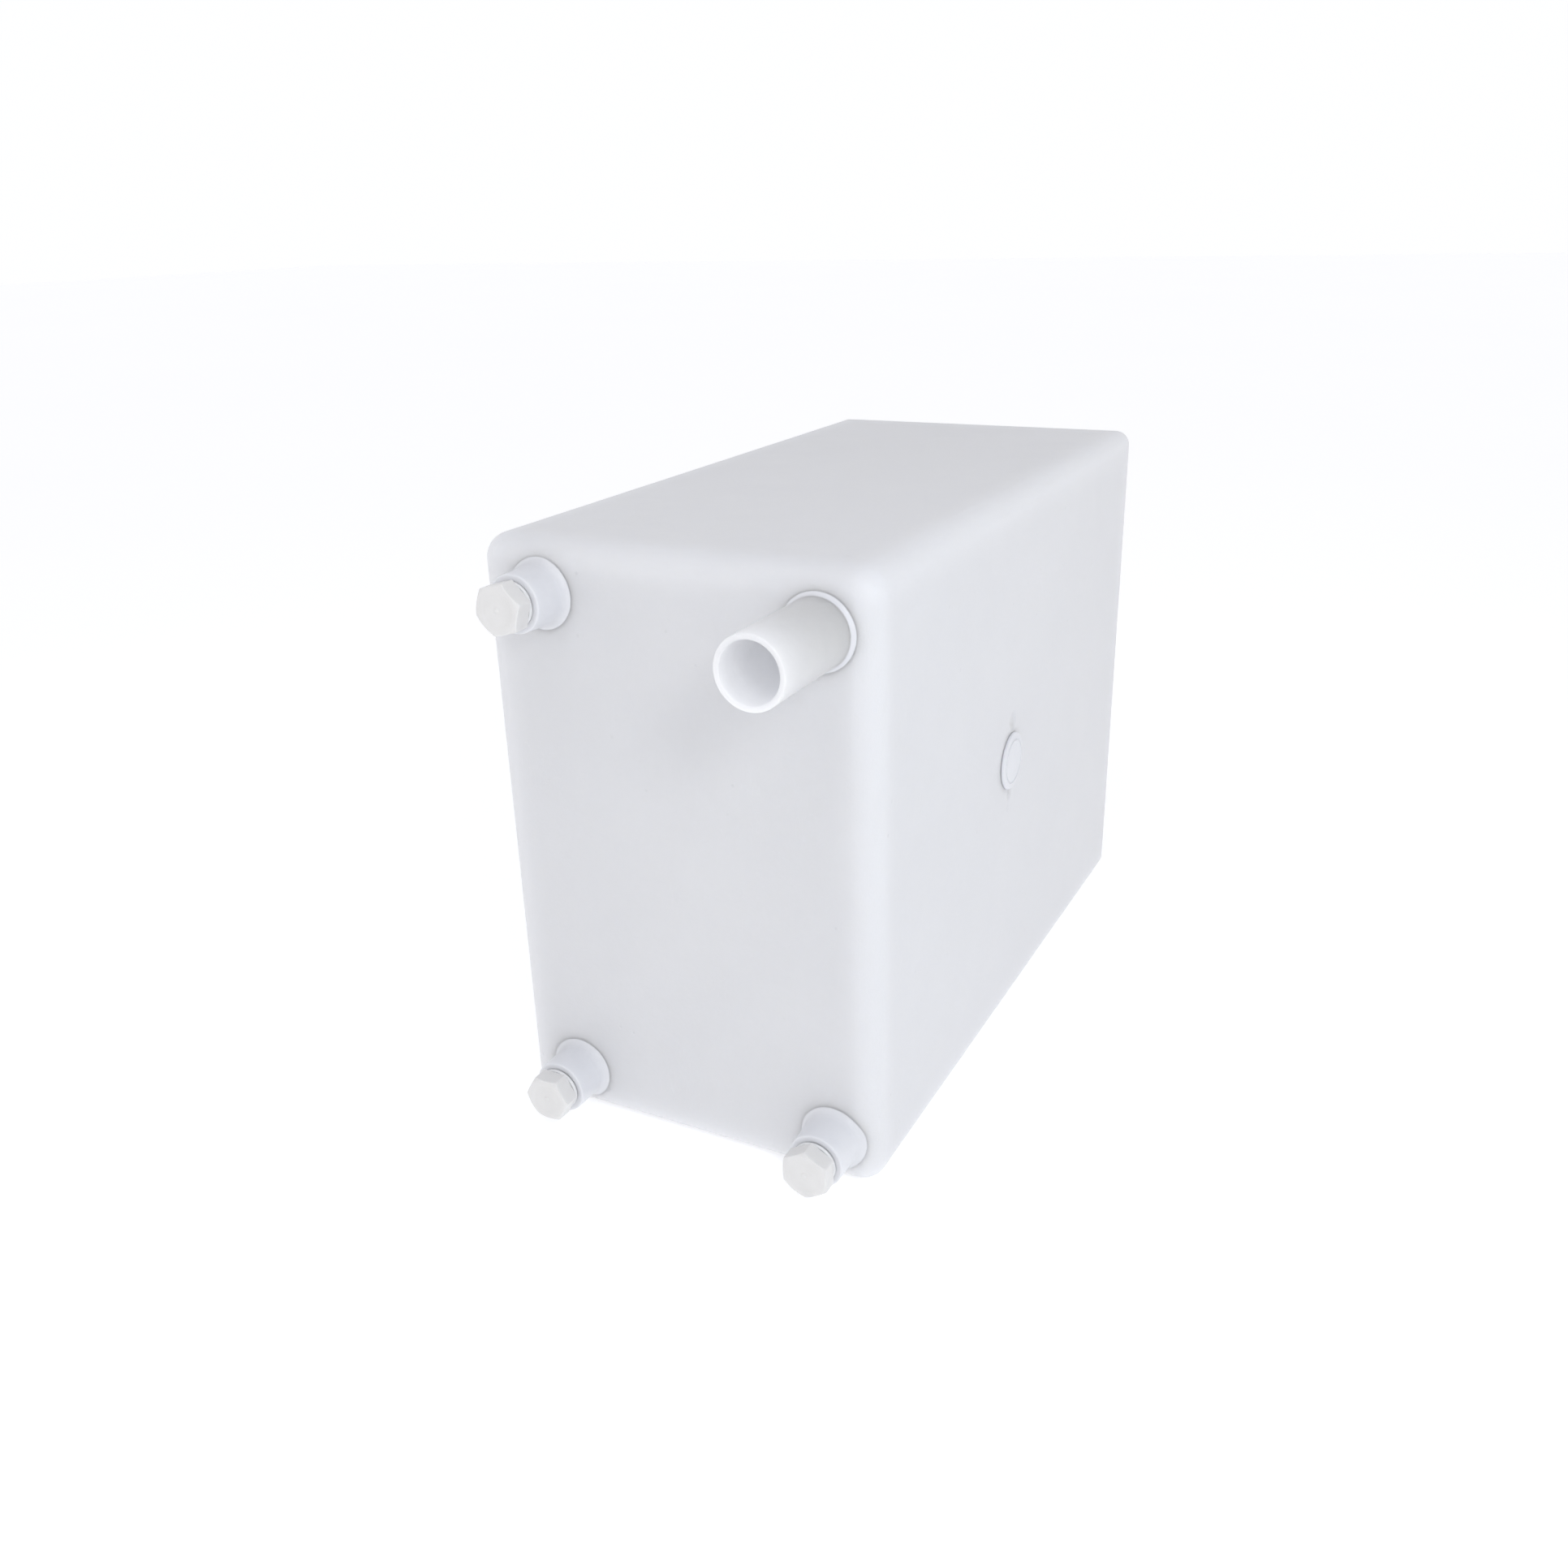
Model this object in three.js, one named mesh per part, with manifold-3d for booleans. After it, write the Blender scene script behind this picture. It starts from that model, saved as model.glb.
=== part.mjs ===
// Fresh water tank for a food truck or a concession trailer, in millimetres, +Z up.
// A rotationally moulded polyethylene box stands on its long narrow side. All its plumbing is on
// one narrow end, the front, at -Y: an open fill spout at the top right, and threaded couplings for
// the vent, the drain and the outlet, each closed by a hex-head pipe plug with thread tape on it.
// The origin is the centre of the box's bottom face.
import * as THREE from "three";
import { mergeVertices } from "three/addons/utils/BufferGeometryUtils.js";
import Module from "manifold-3d";

const INCH = 25.4;

// The box.
const WIDTH = 8 * INCH; // along X
const DEPTH = 16 * INCH; // along Y
const HEIGHT = 12 * INCH; // along Z
const WALL = 5.6;
const FRONT_RADIUS = 12.5; // edges and corners round the front end
const BACK_RADIUS = 9; // edges and corners round the back end
const CORNER_STEPS = 5; // facets in a quarter turn of an edge

// Clearances between pieces.
const WELD_GAP = 0.3; // between faces that are welded together
const THREAD_GAP = 0.25; // between a plug's thread and its coupling's

// Fill spout, for a hose pushed over it.
const SPOUT_OUTER = 1.25 * INCH;
const SPOUT_WALL = 2.6;
const SPOUT_LENGTH = 60; // from the box's face to the rim
const SPOUT_FOOT = 2.4; // how far its foot stands out round the tube
const SPOUT_FOOT_HEIGHT = 3;
const SPOUT_FROM_SIDE = 27; // from the box's right side to its axis
const SPOUT_FROM_TOP = 28;

// Half-inch pipe thread, 14 to the inch, with a taper of 1 in 16 on its diameter.
const PITCH = INCH / 14;
const TAPER = 1 / 32; // rise of the radius along the axis
const ROOT_RADIUS = 9.1; // the plug's core at the coupling's mouth
const THREAD_HEIGHT = 1.15;
const THREAD_BASE = 1.1;
const THREAD_CREST = 0.4;
const THREAD_STEPS = 16; // facets in one turn

// Couplings.
const COUPLING_LENGTH = 20; // from the box's face to the mouth
const COUPLING_WALL = 3.6; // round the thread
const COUPLING_FOOT = 4.2; // how far the foot stands out round the barrel
const COUPLING_FOOT_HEIGHT = 6;
const COUPLING_THREAD_DEPTH = 12.5;
const MOUTH_CHAMFER = 0.8;
const SPIGOT_WALL = 2.2; // of the short pipe that passes through the box's wall

// Plugs.
const HEX_ACROSS_FLATS = (7 / 8) * INCH;
const HEX_HEIGHT = 9;
const HEX_CHAMFER = 1;
const HEX_STEPS = 24; // facets round the chamfer, a multiple of six
const PLUG_EXPOSED = 3; // thread left outside the coupling when the plug is tight
const PLUG_ENGAGED = 10; // thread inside it
const PLUG_CORE_RADIUS = 6.2; // moulded hollow, open to the tank
const PLUG_FACE = 6; // solid plastic left behind the hex face

// Thread tape, bunched on the exposed thread.
const TAPE_THICKNESS = 0.5;
const TAPE_WIDTH = 2.2;

// Disc that closes the hole of the mould's breather, in the right side.
const DISC_RADIUS = 16;
const DISC_HEIGHT = 2;
const DISC_STEM_RADIUS = 6;
const DISC_FORWARD = 20; // from the middle of the side towards the front
const DISC_ABOVE_MIDDLE = 6;

const ROUND_STEPS = 32; // facets round a fitting
const FOOT_STEPS = 4; // facets up a foot's curve

const wasm = await Module();
wasm.setup();

const polyethylene = new THREE.MeshStandardMaterial({
  color: 0xe3e5ea,
  roughness: 0.42,
  metalness: 0,
});
const plugPlastic = new THREE.MeshStandardMaterial({
  color: 0xe0e0dc,
  roughness: 0.38,
  metalness: 0,
});
const tapePlastic = new THREE.MeshStandardMaterial({
  color: 0xf4f4f2,
  roughness: 0.6,
  metalness: 0,
});

// Triangles without any that has two corners in one place.
function withoutSlivers(index) {
  const kept = [];
  for (let i = 0; i < index.length; i += 3) {
    const [a, b, c] = [index[i], index[i + 1], index[i + 2]];
    if (a !== b && b !== c && c !== a) kept.push(a, b, c);
  }
  return new Uint32Array(kept);
}

// A closed three.js geometry as a solid that can be joined and cut.
function solidOf(geometry) {
  const bare = geometry.clone();
  bare.deleteAttribute("normal");
  bare.deleteAttribute("uv");
  const merged = mergeVertices(bare, 1e-4);
  return new wasm.Manifold(
    new wasm.Mesh({
      numProp: 3,
      vertProperties: merged.attributes.position.array,
      triVerts: withoutSlivers(merged.index.array),
    }),
  );
}

// A solid as a named mesh.
function meshOf(name, solid, material) {
  const { vertProperties, triVerts } = solid.getMesh();
  const geometry = new THREE.BufferGeometry()
    .setAttribute("position", new THREE.BufferAttribute(vertProperties, 3))
    .setIndex(new THREE.BufferAttribute(triVerts, 1));
  geometry.computeVertexNormals();
  const mesh = new THREE.Mesh(geometry, material);
  mesh.name = name;
  return mesh;
}

// A solid turned about +Y. The outline is a closed list of [radius, height], anticlockwise.
function turned(outline, steps = ROUND_STEPS) {
  const points = [...outline, outline[0]].map(([r, y]) => new THREE.Vector2(r, y));
  return solidOf(new THREE.LatheGeometry(points, steps));
}

// Closed rings of points, each joined to the next, with a flat fan over both ends.
function lofted(rings) {
  const count = rings[0].length;
  const positions = [];
  const index = [];
  rings.flat().forEach((p) => positions.push(p.x, p.y, p.z));
  for (let k = 0; k + 1 < rings.length; k++)
    for (let i = 0; i < count; i++) {
      const [a, b] = [k * count + i, k * count + ((i + 1) % count)];
      index.push(a, b, b + count, a, b + count, a + count);
    }
  const last = (rings.length - 1) * count;
  for (let i = 1; i + 1 < count; i++) {
    index.push(0, i + 1, i);
    index.push(last, last + i, last + i + 1);
  }
  return solidOf(
    new THREE.BufferGeometry()
      .setAttribute("position", new THREE.Float32BufferAttribute(positions, 3))
      .setIndex(index),
  );
}

// One ring of the box: a rectangle across Y with round corners, clockwise seen from the front.
function boxRing(halfWidth, halfHeight, radius, y) {
  const ring = [];
  for (let corner = 0; corner < 4; corner++)
    for (let i = 0; i <= CORNER_STEPS; i++) {
      const turn = -(corner + i / CORNER_STEPS) * (Math.PI / 2);
      const [cx, cz] = [
        corner === 0 || corner === 3 ? 1 : -1,
        corner === 0 || corner === 1 ? -1 : 1,
      ];
      ring.push(
        new THREE.Vector3(
          cx * (halfWidth - radius) + radius * Math.cos(turn),
          y,
          HEIGHT / 2 + cz * (halfHeight - radius) + radius * Math.sin(turn),
        ),
      );
    }
  return ring;
}

// The box's outer form, or with an inset its cavity. Its corners are parts of spheres, larger at
// the front, so its long edges are slender cones.
function roundedBox(inset) {
  const [halfWidth, halfHeight] = [WIDTH / 2 - inset, HEIGHT / 2 - inset];
  const halfDepth = DEPTH / 2 - inset;
  const rings = [];
  for (const [end, outerRadius] of [
    [-1, FRONT_RADIUS],
    [1, BACK_RADIUS],
  ]) {
    const radius = outerRadius - inset;
    const steps = [...Array(CORNER_STEPS + 1).keys()];
    if (end > 0) steps.reverse();
    for (const step of steps) {
      const turn = (step / CORNER_STEPS) * (Math.PI / 2);
      const shrink = radius * (1 - Math.sin(turn));
      rings.push(
        boxRing(
          halfWidth - shrink,
          halfHeight - shrink,
          radius * Math.sin(turn),
          end * (halfDepth - radius * (1 - Math.cos(turn))),
        ),
      );
    }
  }
  return lofted(rings);
}

// A right-hand screw along +Y: one helical strip of the thread's profile, closed by a fan to the
// axis at each end, both ends past the heights asked for. A crest passes +X at height zero, where
// the core has its stated radius. The gap makes it the hollow that the same screw runs in.
function screw(from, to, gap) {
  const profile = [
    [-THREAD_BASE / 2 - gap, 0],
    [-THREAD_CREST / 2 - gap, THREAD_HEIGHT],
    [THREAD_CREST / 2 + gap, THREAD_HEIGHT],
    [THREAD_BASE / 2 + gap, 0],
  ];
  const across = profile.length;
  const firstTurn = Math.floor(from / PITCH) - 1;
  const lastTurn = Math.ceil(to / PITCH) + 1;
  const stations = (lastTurn - firstTurn) * THREAD_STEPS;
  const positions = [];
  const index = [];
  for (let s = 0; s <= stations; s++) {
    const angle = (s / THREAD_STEPS) * 2 * Math.PI;
    for (const [dy, height] of profile) {
      const y = (firstTurn + s / THREAD_STEPS) * PITCH + dy;
      const r = ROOT_RADIUS + y * TAPER + gap + height;
      positions.push(r * Math.cos(angle), y, -r * Math.sin(angle));
    }
  }
  // The point after a station's last is the first of the station one turn on.
  const at = (s, k) =>
    k < across ? s * across + k : (s + THREAD_STEPS) * across;
  for (let s = 0; s < stations; s++)
    for (let k = 0; k < across; k++) {
      if (k === across - 1 && s >= stations - THREAD_STEPS) continue;
      index.push(at(s, k), at(s + 1, k), at(s + 1, k + 1));
      index.push(at(s, k), at(s + 1, k + 1), at(s, k + 1));
    }
  const low = [...Array(THREAD_STEPS + 1).keys()].map((s) => at(s, 0));
  const high = low.map((_, s) => at(stations - s, across - 1));
  for (let k = across - 1; k > 0; k--) low.push(at(0, k));
  for (let k = 0; k < across - 1; k++) high.push(at(stations, k));
  for (const [loop, turn] of [
    [low, firstTurn],
    [high, lastTurn],
  ]) {
    const middle = positions.length / 3;
    positions.push(0, turn * PITCH, 0);
    loop.forEach((p, i) => index.push(middle, loop[(i + 1) % loop.length], p));
  }
  return solidOf(
    new THREE.BufferGeometry()
      .setAttribute("position", new THREE.Float32BufferAttribute(positions, 3))
      .setIndex(index),
  );
}

// Height zero is a coupling's mouth in the thread's own frame, and the rest are from there.
const THREAD_TOP = PLUG_EXPOSED;
const THREAD_BOTTOM = -PLUG_ENGAGED;
const rootAt = (y) => ROOT_RADIUS + y * TAPER;
const crestAt = (y) => rootAt(y) + THREAD_HEIGHT;

// What a coupling's thread takes out of it, with a chamfer at the mouth.
function threadCut() {
  const bottom = -COUPLING_THREAD_DEPTH;
  const clear = crestAt(PITCH) + 1;
  const length = turned(
    [
      [0, bottom],
      [clear, bottom],
      [clear, PITCH],
      [0, PITCH],
    ],
    THREAD_STEPS,
  );
  const mouth = turned(
    [
      [0, -MOUTH_CHAMFER],
      [rootAt(-MOUTH_CHAMFER) + THREAD_GAP, -MOUTH_CHAMFER],
      [crestAt(0) + THREAD_GAP, 0],
      [crestAt(0) + THREAD_GAP, PITCH],
      [0, PITCH],
    ],
    THREAD_STEPS,
  );
  return screw(bottom, PITCH, THREAD_GAP).intersect(length).add(mouth);
}

// The radii of a coupling, which all follow its thread, and those of the spout.
const COUPLING_RADIUS = ROOT_RADIUS + THREAD_GAP + THREAD_HEIGHT + COUPLING_WALL;
const COUPLING_BORE = ROOT_RADIUS - COUPLING_THREAD_DEPTH * TAPER - 0.6;
const COUPLING_SPIGOT = COUPLING_BORE + SPIGOT_WALL;
const SPOUT_RADIUS = SPOUT_OUTER / 2;
const SPOUT_BORE = SPOUT_RADIUS - SPOUT_WALL;

// The end of a welded fitting that meets the box: a spigot through the box's wall, and round it a
// foot that curves down from the barrel and is cut to the box's own surface, rounded edges too.
function foot({ bore, spigot, barrel, reach, height, at }) {
  const pipe = turned([
    [bore, -WALL],
    [spigot, -WALL],
    [spigot, height],
    [bore, height],
  ]);
  const outline = [
    [bore, -FRONT_RADIUS],
    [barrel + reach, -FRONT_RADIUS],
    [barrel + reach, height / 6],
  ];
  for (let i = 1; i <= FOOT_STEPS; i++) {
    const turn = (i / FOOT_STEPS) * (Math.PI / 2);
    outline.push([
      barrel + reach * (1 - Math.sin(turn)),
      height / 6 + height * (1 - Math.cos(turn)),
    ]);
  }
  outline.push([bore, height * (7 / 6)]);
  const skirt = turned(outline).subtract(offFront(roundedBox(-WELD_GAP), at));
  return skirt.add(pipe);
}

function couplingSolid(at) {
  const end = COUPLING_LENGTH;
  const barrel = turned([
    [COUPLING_BORE, COUPLING_FOOT_HEIGHT],
    [COUPLING_RADIUS, COUPLING_FOOT_HEIGHT],
    [COUPLING_RADIUS, end - MOUTH_CHAMFER],
    [COUPLING_RADIUS - MOUTH_CHAMFER, end],
    [COUPLING_BORE, end],
  ]);
  const base = foot({
    bore: COUPLING_BORE,
    spigot: COUPLING_SPIGOT,
    barrel: COUPLING_RADIUS,
    reach: COUPLING_FOOT,
    height: COUPLING_FOOT_HEIGHT,
    at,
  });
  return barrel.add(base).subtract(threadCut().translate(0, end, 0));
}

function spoutSolid(at) {
  const rimRound = SPOUT_WALL / 4;
  const tube = turned([
    [SPOUT_BORE, SPOUT_FOOT_HEIGHT],
    [SPOUT_RADIUS, SPOUT_FOOT_HEIGHT],
    [SPOUT_RADIUS, SPOUT_LENGTH - rimRound],
    [SPOUT_RADIUS - rimRound, SPOUT_LENGTH],
    [SPOUT_BORE + rimRound, SPOUT_LENGTH],
    [SPOUT_BORE, SPOUT_LENGTH - rimRound],
  ]);
  const base = foot({
    bore: SPOUT_BORE,
    spigot: SPOUT_RADIUS,
    barrel: SPOUT_RADIUS,
    reach: SPOUT_FOOT,
    height: SPOUT_FOOT_HEIGHT,
    at,
  });
  return tube.add(base);
}

// A hex-head plug, in the thread's frame, with its head turned about the thread.
function plugSolid(headTurn) {
  const top = PLUG_EXPOSED + HEX_HEIGHT;
  const corner = HEX_ACROSS_FLATS / Math.sqrt(3);
  const hex = solidOf(
    new THREE.CylinderGeometry(corner, corner, HEX_HEIGHT, 6).translate(
      0,
      PLUG_EXPOSED + HEX_HEIGHT / 2,
      0,
    ),
  );
  const outside = corner * 1.01;
  const bevel = turned(
    [
      [0, PLUG_EXPOSED - 1],
      [outside, PLUG_EXPOSED - 1],
      [outside, top - HEX_CHAMFER],
      [outside - HEX_CHAMFER * 1.8, top],
      [0, top],
    ],
    HEX_STEPS,
  );
  const head = hex.intersect(bevel).rotate(0, headTurn, 0);
  const tip = turned(
    [
      [0, THREAD_BOTTOM],
      [rootAt(THREAD_BOTTOM), THREAD_BOTTOM],
      [crestAt(THREAD_TOP), THREAD_BOTTOM + 2 * THREAD_HEIGHT],
      [crestAt(THREAD_TOP), THREAD_TOP + 0.5],
      [0, THREAD_TOP + 0.5],
    ],
    THREAD_STEPS,
  );
  const core = turned(
    [
      [0, THREAD_BOTTOM - 1],
      [PLUG_CORE_RADIUS, THREAD_BOTTOM - 1],
      [PLUG_CORE_RADIUS, top - PLUG_FACE],
      [0, top - PLUG_FACE],
    ],
    THREAD_STEPS,
  );
  return screw(THREAD_BOTTOM, THREAD_TOP, 0).intersect(tip).add(head).subtract(core);
}

// The tape that shows between the coupling's mouth and the hex, clear of both.
function tapeSolid() {
  const middle = PLUG_EXPOSED / 2;
  const inner = ROOT_RADIUS + PLUG_EXPOSED * TAPER + THREAD_HEIGHT + THREAD_GAP;
  return turned([
    [inner, middle - TAPE_WIDTH / 2],
    [inner + TAPE_THICKNESS, middle - TAPE_WIDTH / 2],
    [inner + TAPE_THICKNESS, middle + TAPE_WIDTH / 2],
    [inner, middle + TAPE_WIDTH / 2],
  ]);
}

function discSolid() {
  return turned([
    [0, -WALL],
    [DISC_STEM_RADIUS, -WALL],
    [DISC_STEM_RADIUS, WELD_GAP],
    [DISC_RADIUS, WELD_GAP],
    [DISC_RADIUS, DISC_HEIGHT * 0.55],
    [DISC_RADIUS - DISC_HEIGHT * 0.6, DISC_HEIGHT],
    [0, DISC_HEIGHT],
  ]);
}

// The three threaded ports: where each one's axis is on the front, and the angle in degrees at which
// its plug's head came tight.
const PORTS = [
  { name: "vent", x: -WIDTH / 2 + 35, z: HEIGHT - 25, headTurn: 15 },
  { name: "drain", x: -WIDTH / 2 + 34, z: 24, headTurn: 0 },
  { name: "outlet", x: WIDTH / 2 - 23, z: 25, headTurn: 30 },
];
const SPOUT = { x: WIDTH / 2 - SPOUT_FROM_SIDE, z: HEIGHT - SPOUT_FROM_TOP };
const DISC = { y: -DISC_FORWARD, z: HEIGHT / 2 + DISC_ABOVE_MIDDLE };

// A fitting's own frame has +Y out of the box. On the front that is the part's -Y.
function onFront(solid, { x, z }) {
  return solid.rotate(0, 0, 180).translate(x, -DEPTH / 2, z);
}

// The box, or any solid in the part's frame, as a fitting on the front sees it.
function offFront(solid, { x, z }) {
  return solid.translate(-x, DEPTH / 2, -z).rotate(0, 0, 180);
}

function onRightSide(solid, { y, z }) {
  return solid.rotate(0, 0, -90).translate(WIDTH / 2, y, z);
}

// The hole that a spigot or stem passes through, with the weld's gap all round.
function wallHole(radius) {
  const reach = WALL + FRONT_RADIUS;
  return turned([
    [0, -reach],
    [radius + WELD_GAP, -reach],
    [radius + WELD_GAP, 1],
    [0, 1],
  ]);
}

function shellSolid() {
  let shell = roundedBox(0).subtract(roundedBox(WALL));
  shell = shell.subtract(onFront(wallHole(SPOUT_RADIUS), SPOUT));
  for (const port of PORTS)
    shell = shell.subtract(onFront(wallHole(COUPLING_SPIGOT), port));
  return shell.subtract(onRightSide(wallHole(DISC_STEM_RADIUS), DISC));
}

const tank = new THREE.Group();
tank.add(meshOf("tank_shell", shellSolid(), polyethylene));
tank.add(meshOf("fill_spout", onFront(spoutSolid(SPOUT), SPOUT), polyethylene));
tank.add(meshOf("breather_disc", onRightSide(discSolid(), DISC), polyethylene));
for (const port of PORTS) {
  const { name, headTurn } = port;
  const atMouth = (solid) => onFront(solid.translate(0, COUPLING_LENGTH, 0), port);
  tank.add(meshOf(`${name}_coupling`, onFront(couplingSolid(port), port), polyethylene));
  tank.add(meshOf(`${name}_plug_tape`, atMouth(tapeSolid()), tapePlastic));
  tank.add(meshOf(`${name}_plug`, atMouth(plugSolid(headTurn)), plugPlastic));
}

export default tank;
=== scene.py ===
"""Fresh water tank of a food truck or concession trailer: its finished surfaces and their studio.

A rotationally moulded polyethylene box stands on its long narrow side. Its front, at -Y, carries
an open fill spout and three threaded couplings, each closed by a hex-head pipe plug with thread
tape under its head. A welded disc in the right side closes the hole of the mould's breather.
Lengths are in metres, +Z up, and the origin is the centre of the box's bottom face.
"""

from __future__ import annotations

import logging
import math
from collections.abc import Callable, Mapping, Sequence
from dataclasses import dataclass, field, replace
from enum import Enum

import bmesh
import bpy
import numpy as np
from mathutils import Matrix, Vector


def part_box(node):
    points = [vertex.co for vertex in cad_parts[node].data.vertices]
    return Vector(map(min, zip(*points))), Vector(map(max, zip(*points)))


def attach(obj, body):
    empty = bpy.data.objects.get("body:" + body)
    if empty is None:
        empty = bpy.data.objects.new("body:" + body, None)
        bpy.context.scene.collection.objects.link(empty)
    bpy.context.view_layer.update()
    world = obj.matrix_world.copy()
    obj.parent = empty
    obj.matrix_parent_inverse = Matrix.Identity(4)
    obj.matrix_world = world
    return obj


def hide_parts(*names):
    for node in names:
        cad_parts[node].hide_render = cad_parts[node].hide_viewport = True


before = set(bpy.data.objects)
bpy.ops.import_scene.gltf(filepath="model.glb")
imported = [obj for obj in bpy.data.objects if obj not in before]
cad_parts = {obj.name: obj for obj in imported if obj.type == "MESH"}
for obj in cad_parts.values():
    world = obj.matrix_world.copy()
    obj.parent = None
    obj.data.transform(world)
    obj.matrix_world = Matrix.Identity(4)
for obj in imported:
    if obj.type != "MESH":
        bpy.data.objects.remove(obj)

log = logging.getLogger("tank")

MM = 0.001
TURN = 2 * math.pi
MERGE_DISTANCE = 2e-6
TANK_BODY = "tank"

# Sizes that more than one piece shares.
WALL = 5.6 * MM
MOUTH = 20 * MM  # of a coupling, from the box's face
HEX_ACROSS_FLATS = 22.225 * MM
SPOUT_RADIUS = 15.875 * MM
SPIGOT_RADIUS = 10.309 * MM
BARREL_RADIUS = 14.1 * MM
DISC_STEM_RADIUS = 6 * MM
WELD_CLEARANCE = 0.3 * MM

Point = tuple[float, float]
Colour = tuple[float, float, float]
Window = tuple[float, float, float, float]


# Shader maths.


class Value:
    """A shader socket that sums are written on: each operator adds its Math node."""

    def __init__(self, graph: ShaderGraph, socket: bpy.types.NodeSocket) -> None:
        """Wraps one output socket of a graph."""
        self.graph = graph
        self.socket = socket

    def __add__(self, other: Value | float) -> Value:
        """Sum."""
        return self.graph.maths("ADD", self, other)

    __radd__ = __add__

    def __sub__(self, other: Value | float) -> Value:
        """Difference."""
        return self.graph.maths("SUBTRACT", self, other)

    def __rsub__(self, other: float) -> Value:
        """Difference from a number."""
        return self.graph.maths("SUBTRACT", other, self)

    def __mul__(self, other: Value | float) -> Value:
        """Product."""
        return self.graph.maths("MULTIPLY", self, other)

    __rmul__ = __mul__

    def __abs__(self) -> Value:
        """Size without its sign."""
        return self.graph.maths("ABSOLUTE", self)

    def over(self, low: float, high: float) -> Value:
        """Rises smoothly from 0 at low to 1 at high, or falls if low is the larger."""
        return self.graph.node(
            "ShaderNodeMapRange",
            {"interpolation_type": "SMOOTHSTEP"},
            {"Value": self, "From Min": low, "From Max": high},
        )


class ShaderGraph:
    """The nodes of one material, or of the sky."""

    def __init__(self, owner: bpy.types.Material | bpy.types.World) -> None:
        """Empties the owner's nodes and starts afresh."""
        self.owner = owner
        self.owner.use_nodes = True
        self.tree = self.owner.node_tree
        self.tree.nodes.clear()

    @classmethod
    def of_material(cls, name: str) -> ShaderGraph:
        """Starts a new material of that name."""
        return cls(bpy.data.materials.new(name))

    def node(
        self,
        kind: str,
        settings: Mapping[str, object],
        values: Mapping[str | int, object],
        output: str | int = 0,
    ) -> Value:
        """Adds one node.

        Args:
            kind: The node's type.
            settings: Its own settings, which are set first.
            values: For each of its sockets, by name or number, a value or another node's output.
            output: The output that is wanted, by name or number.

        Returns:
            That output.
        """
        made = self.tree.nodes.new(kind)
        for key, setting in settings.items():
            setattr(made, key, setting)
        for key, value in values.items():
            if isinstance(value, Value):
                self.tree.links.new(value.socket, made.inputs[key])
            else:
                made.inputs[key].default_value = value
        return Value(self, made.outputs[output])

    def maths(self, operation: str, *values: Value | float) -> Value:
        """Adds a Math node with those values in order."""
        return self.node("ShaderNodeMath", {"operation": operation}, dict(enumerate(values)))

    def coordinates(self) -> Value:
        """Object coordinates, in metres."""
        return self.node("ShaderNodeTexCoord", {}, {}, "Object")

    def surface_map(self) -> Value:
        """The piece's own map: metres along each of the two ways its surface was made."""
        return self.node("ShaderNodeUVMap", {"uv_map": "surface"}, {})

    def parts(self, vector: Value) -> tuple[Value, Value, Value]:
        """The three components of a vector."""
        split = self.node("ShaderNodeSeparateXYZ", {}, {0: vector}).socket.node
        return tuple(Value(self, socket) for socket in split.outputs)

    def vectors(self, operation: str, *values: Value | Colour) -> Value:
        """Adds a Vector Math node with those values in order."""
        settings = {"operation": operation}
        return self.node("ShaderNodeVectorMath", settings, dict(enumerate(values)))

    def stretched(self, vector: Value, scale: Colour) -> Value:
        """A vector with each component multiplied by its own number."""
        return self.vectors("MULTIPLY", vector, scale)

    def cloud(self, vector: Value, size: float, detail: float = 2.0, rough: float = 0.5) -> Value:
        """Smooth noise from 0 to 1 whose blots are about that size in metres."""
        values = {"Vector": vector, "Scale": 1 / size, "Detail": detail, "Roughness": rough}
        return self.node("ShaderNodeTexNoise", {"noise_dimensions": "3D"}, values)

    def specks(self, vector: Value, size: float) -> Value:
        """Distance to the nearest of many scattered points, in units of their spacing."""
        values = {"Vector": vector, "Scale": 1 / size}
        return self.node("ShaderNodeTexVoronoi", {"feature": "F1"}, values)

    def blend(self, factor: Value, low: Value | Colour, high: Value | Colour) -> Value:
        """A colour between two others."""
        ends = {
            key: value if isinstance(value, Value) else (*value, 1.0)
            for key, value in ((6, low), (7, high))
        }
        return self.node("ShaderNodeMix", {"data_type": "RGBA"}, {0: factor, **ends}, 2)

    def raised(self, height: Value, depth: float, below: Value | None = None) -> Value:
        """A normal that leans as a relief of that depth does, laid over another one."""
        values = {"Height": height, "Distance": depth, "Strength": 1.0}
        if below is not None:
            values["Normal"] = below
        return self.node("ShaderNodeBump", {}, values)

    def finish(self, values: Mapping[str, object]) -> bpy.types.Material:
        """Ends the material in one Principled shader with those sockets set."""
        surface = self.node("ShaderNodeBsdfPrincipled", {}, values)
        end = self.tree.nodes.new("ShaderNodeOutputMaterial")
        self.tree.links.new(surface.socket, end.inputs["Surface"])
        return self.owner


# Finishes.


class Relief(Enum):
    """How a piece's plastic was formed, which its surface still shows."""

    MOULDED_IN_OVEN = "melted onto the inside of a turning mould"
    INJECTED = "pressed into a smooth mould"


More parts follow.
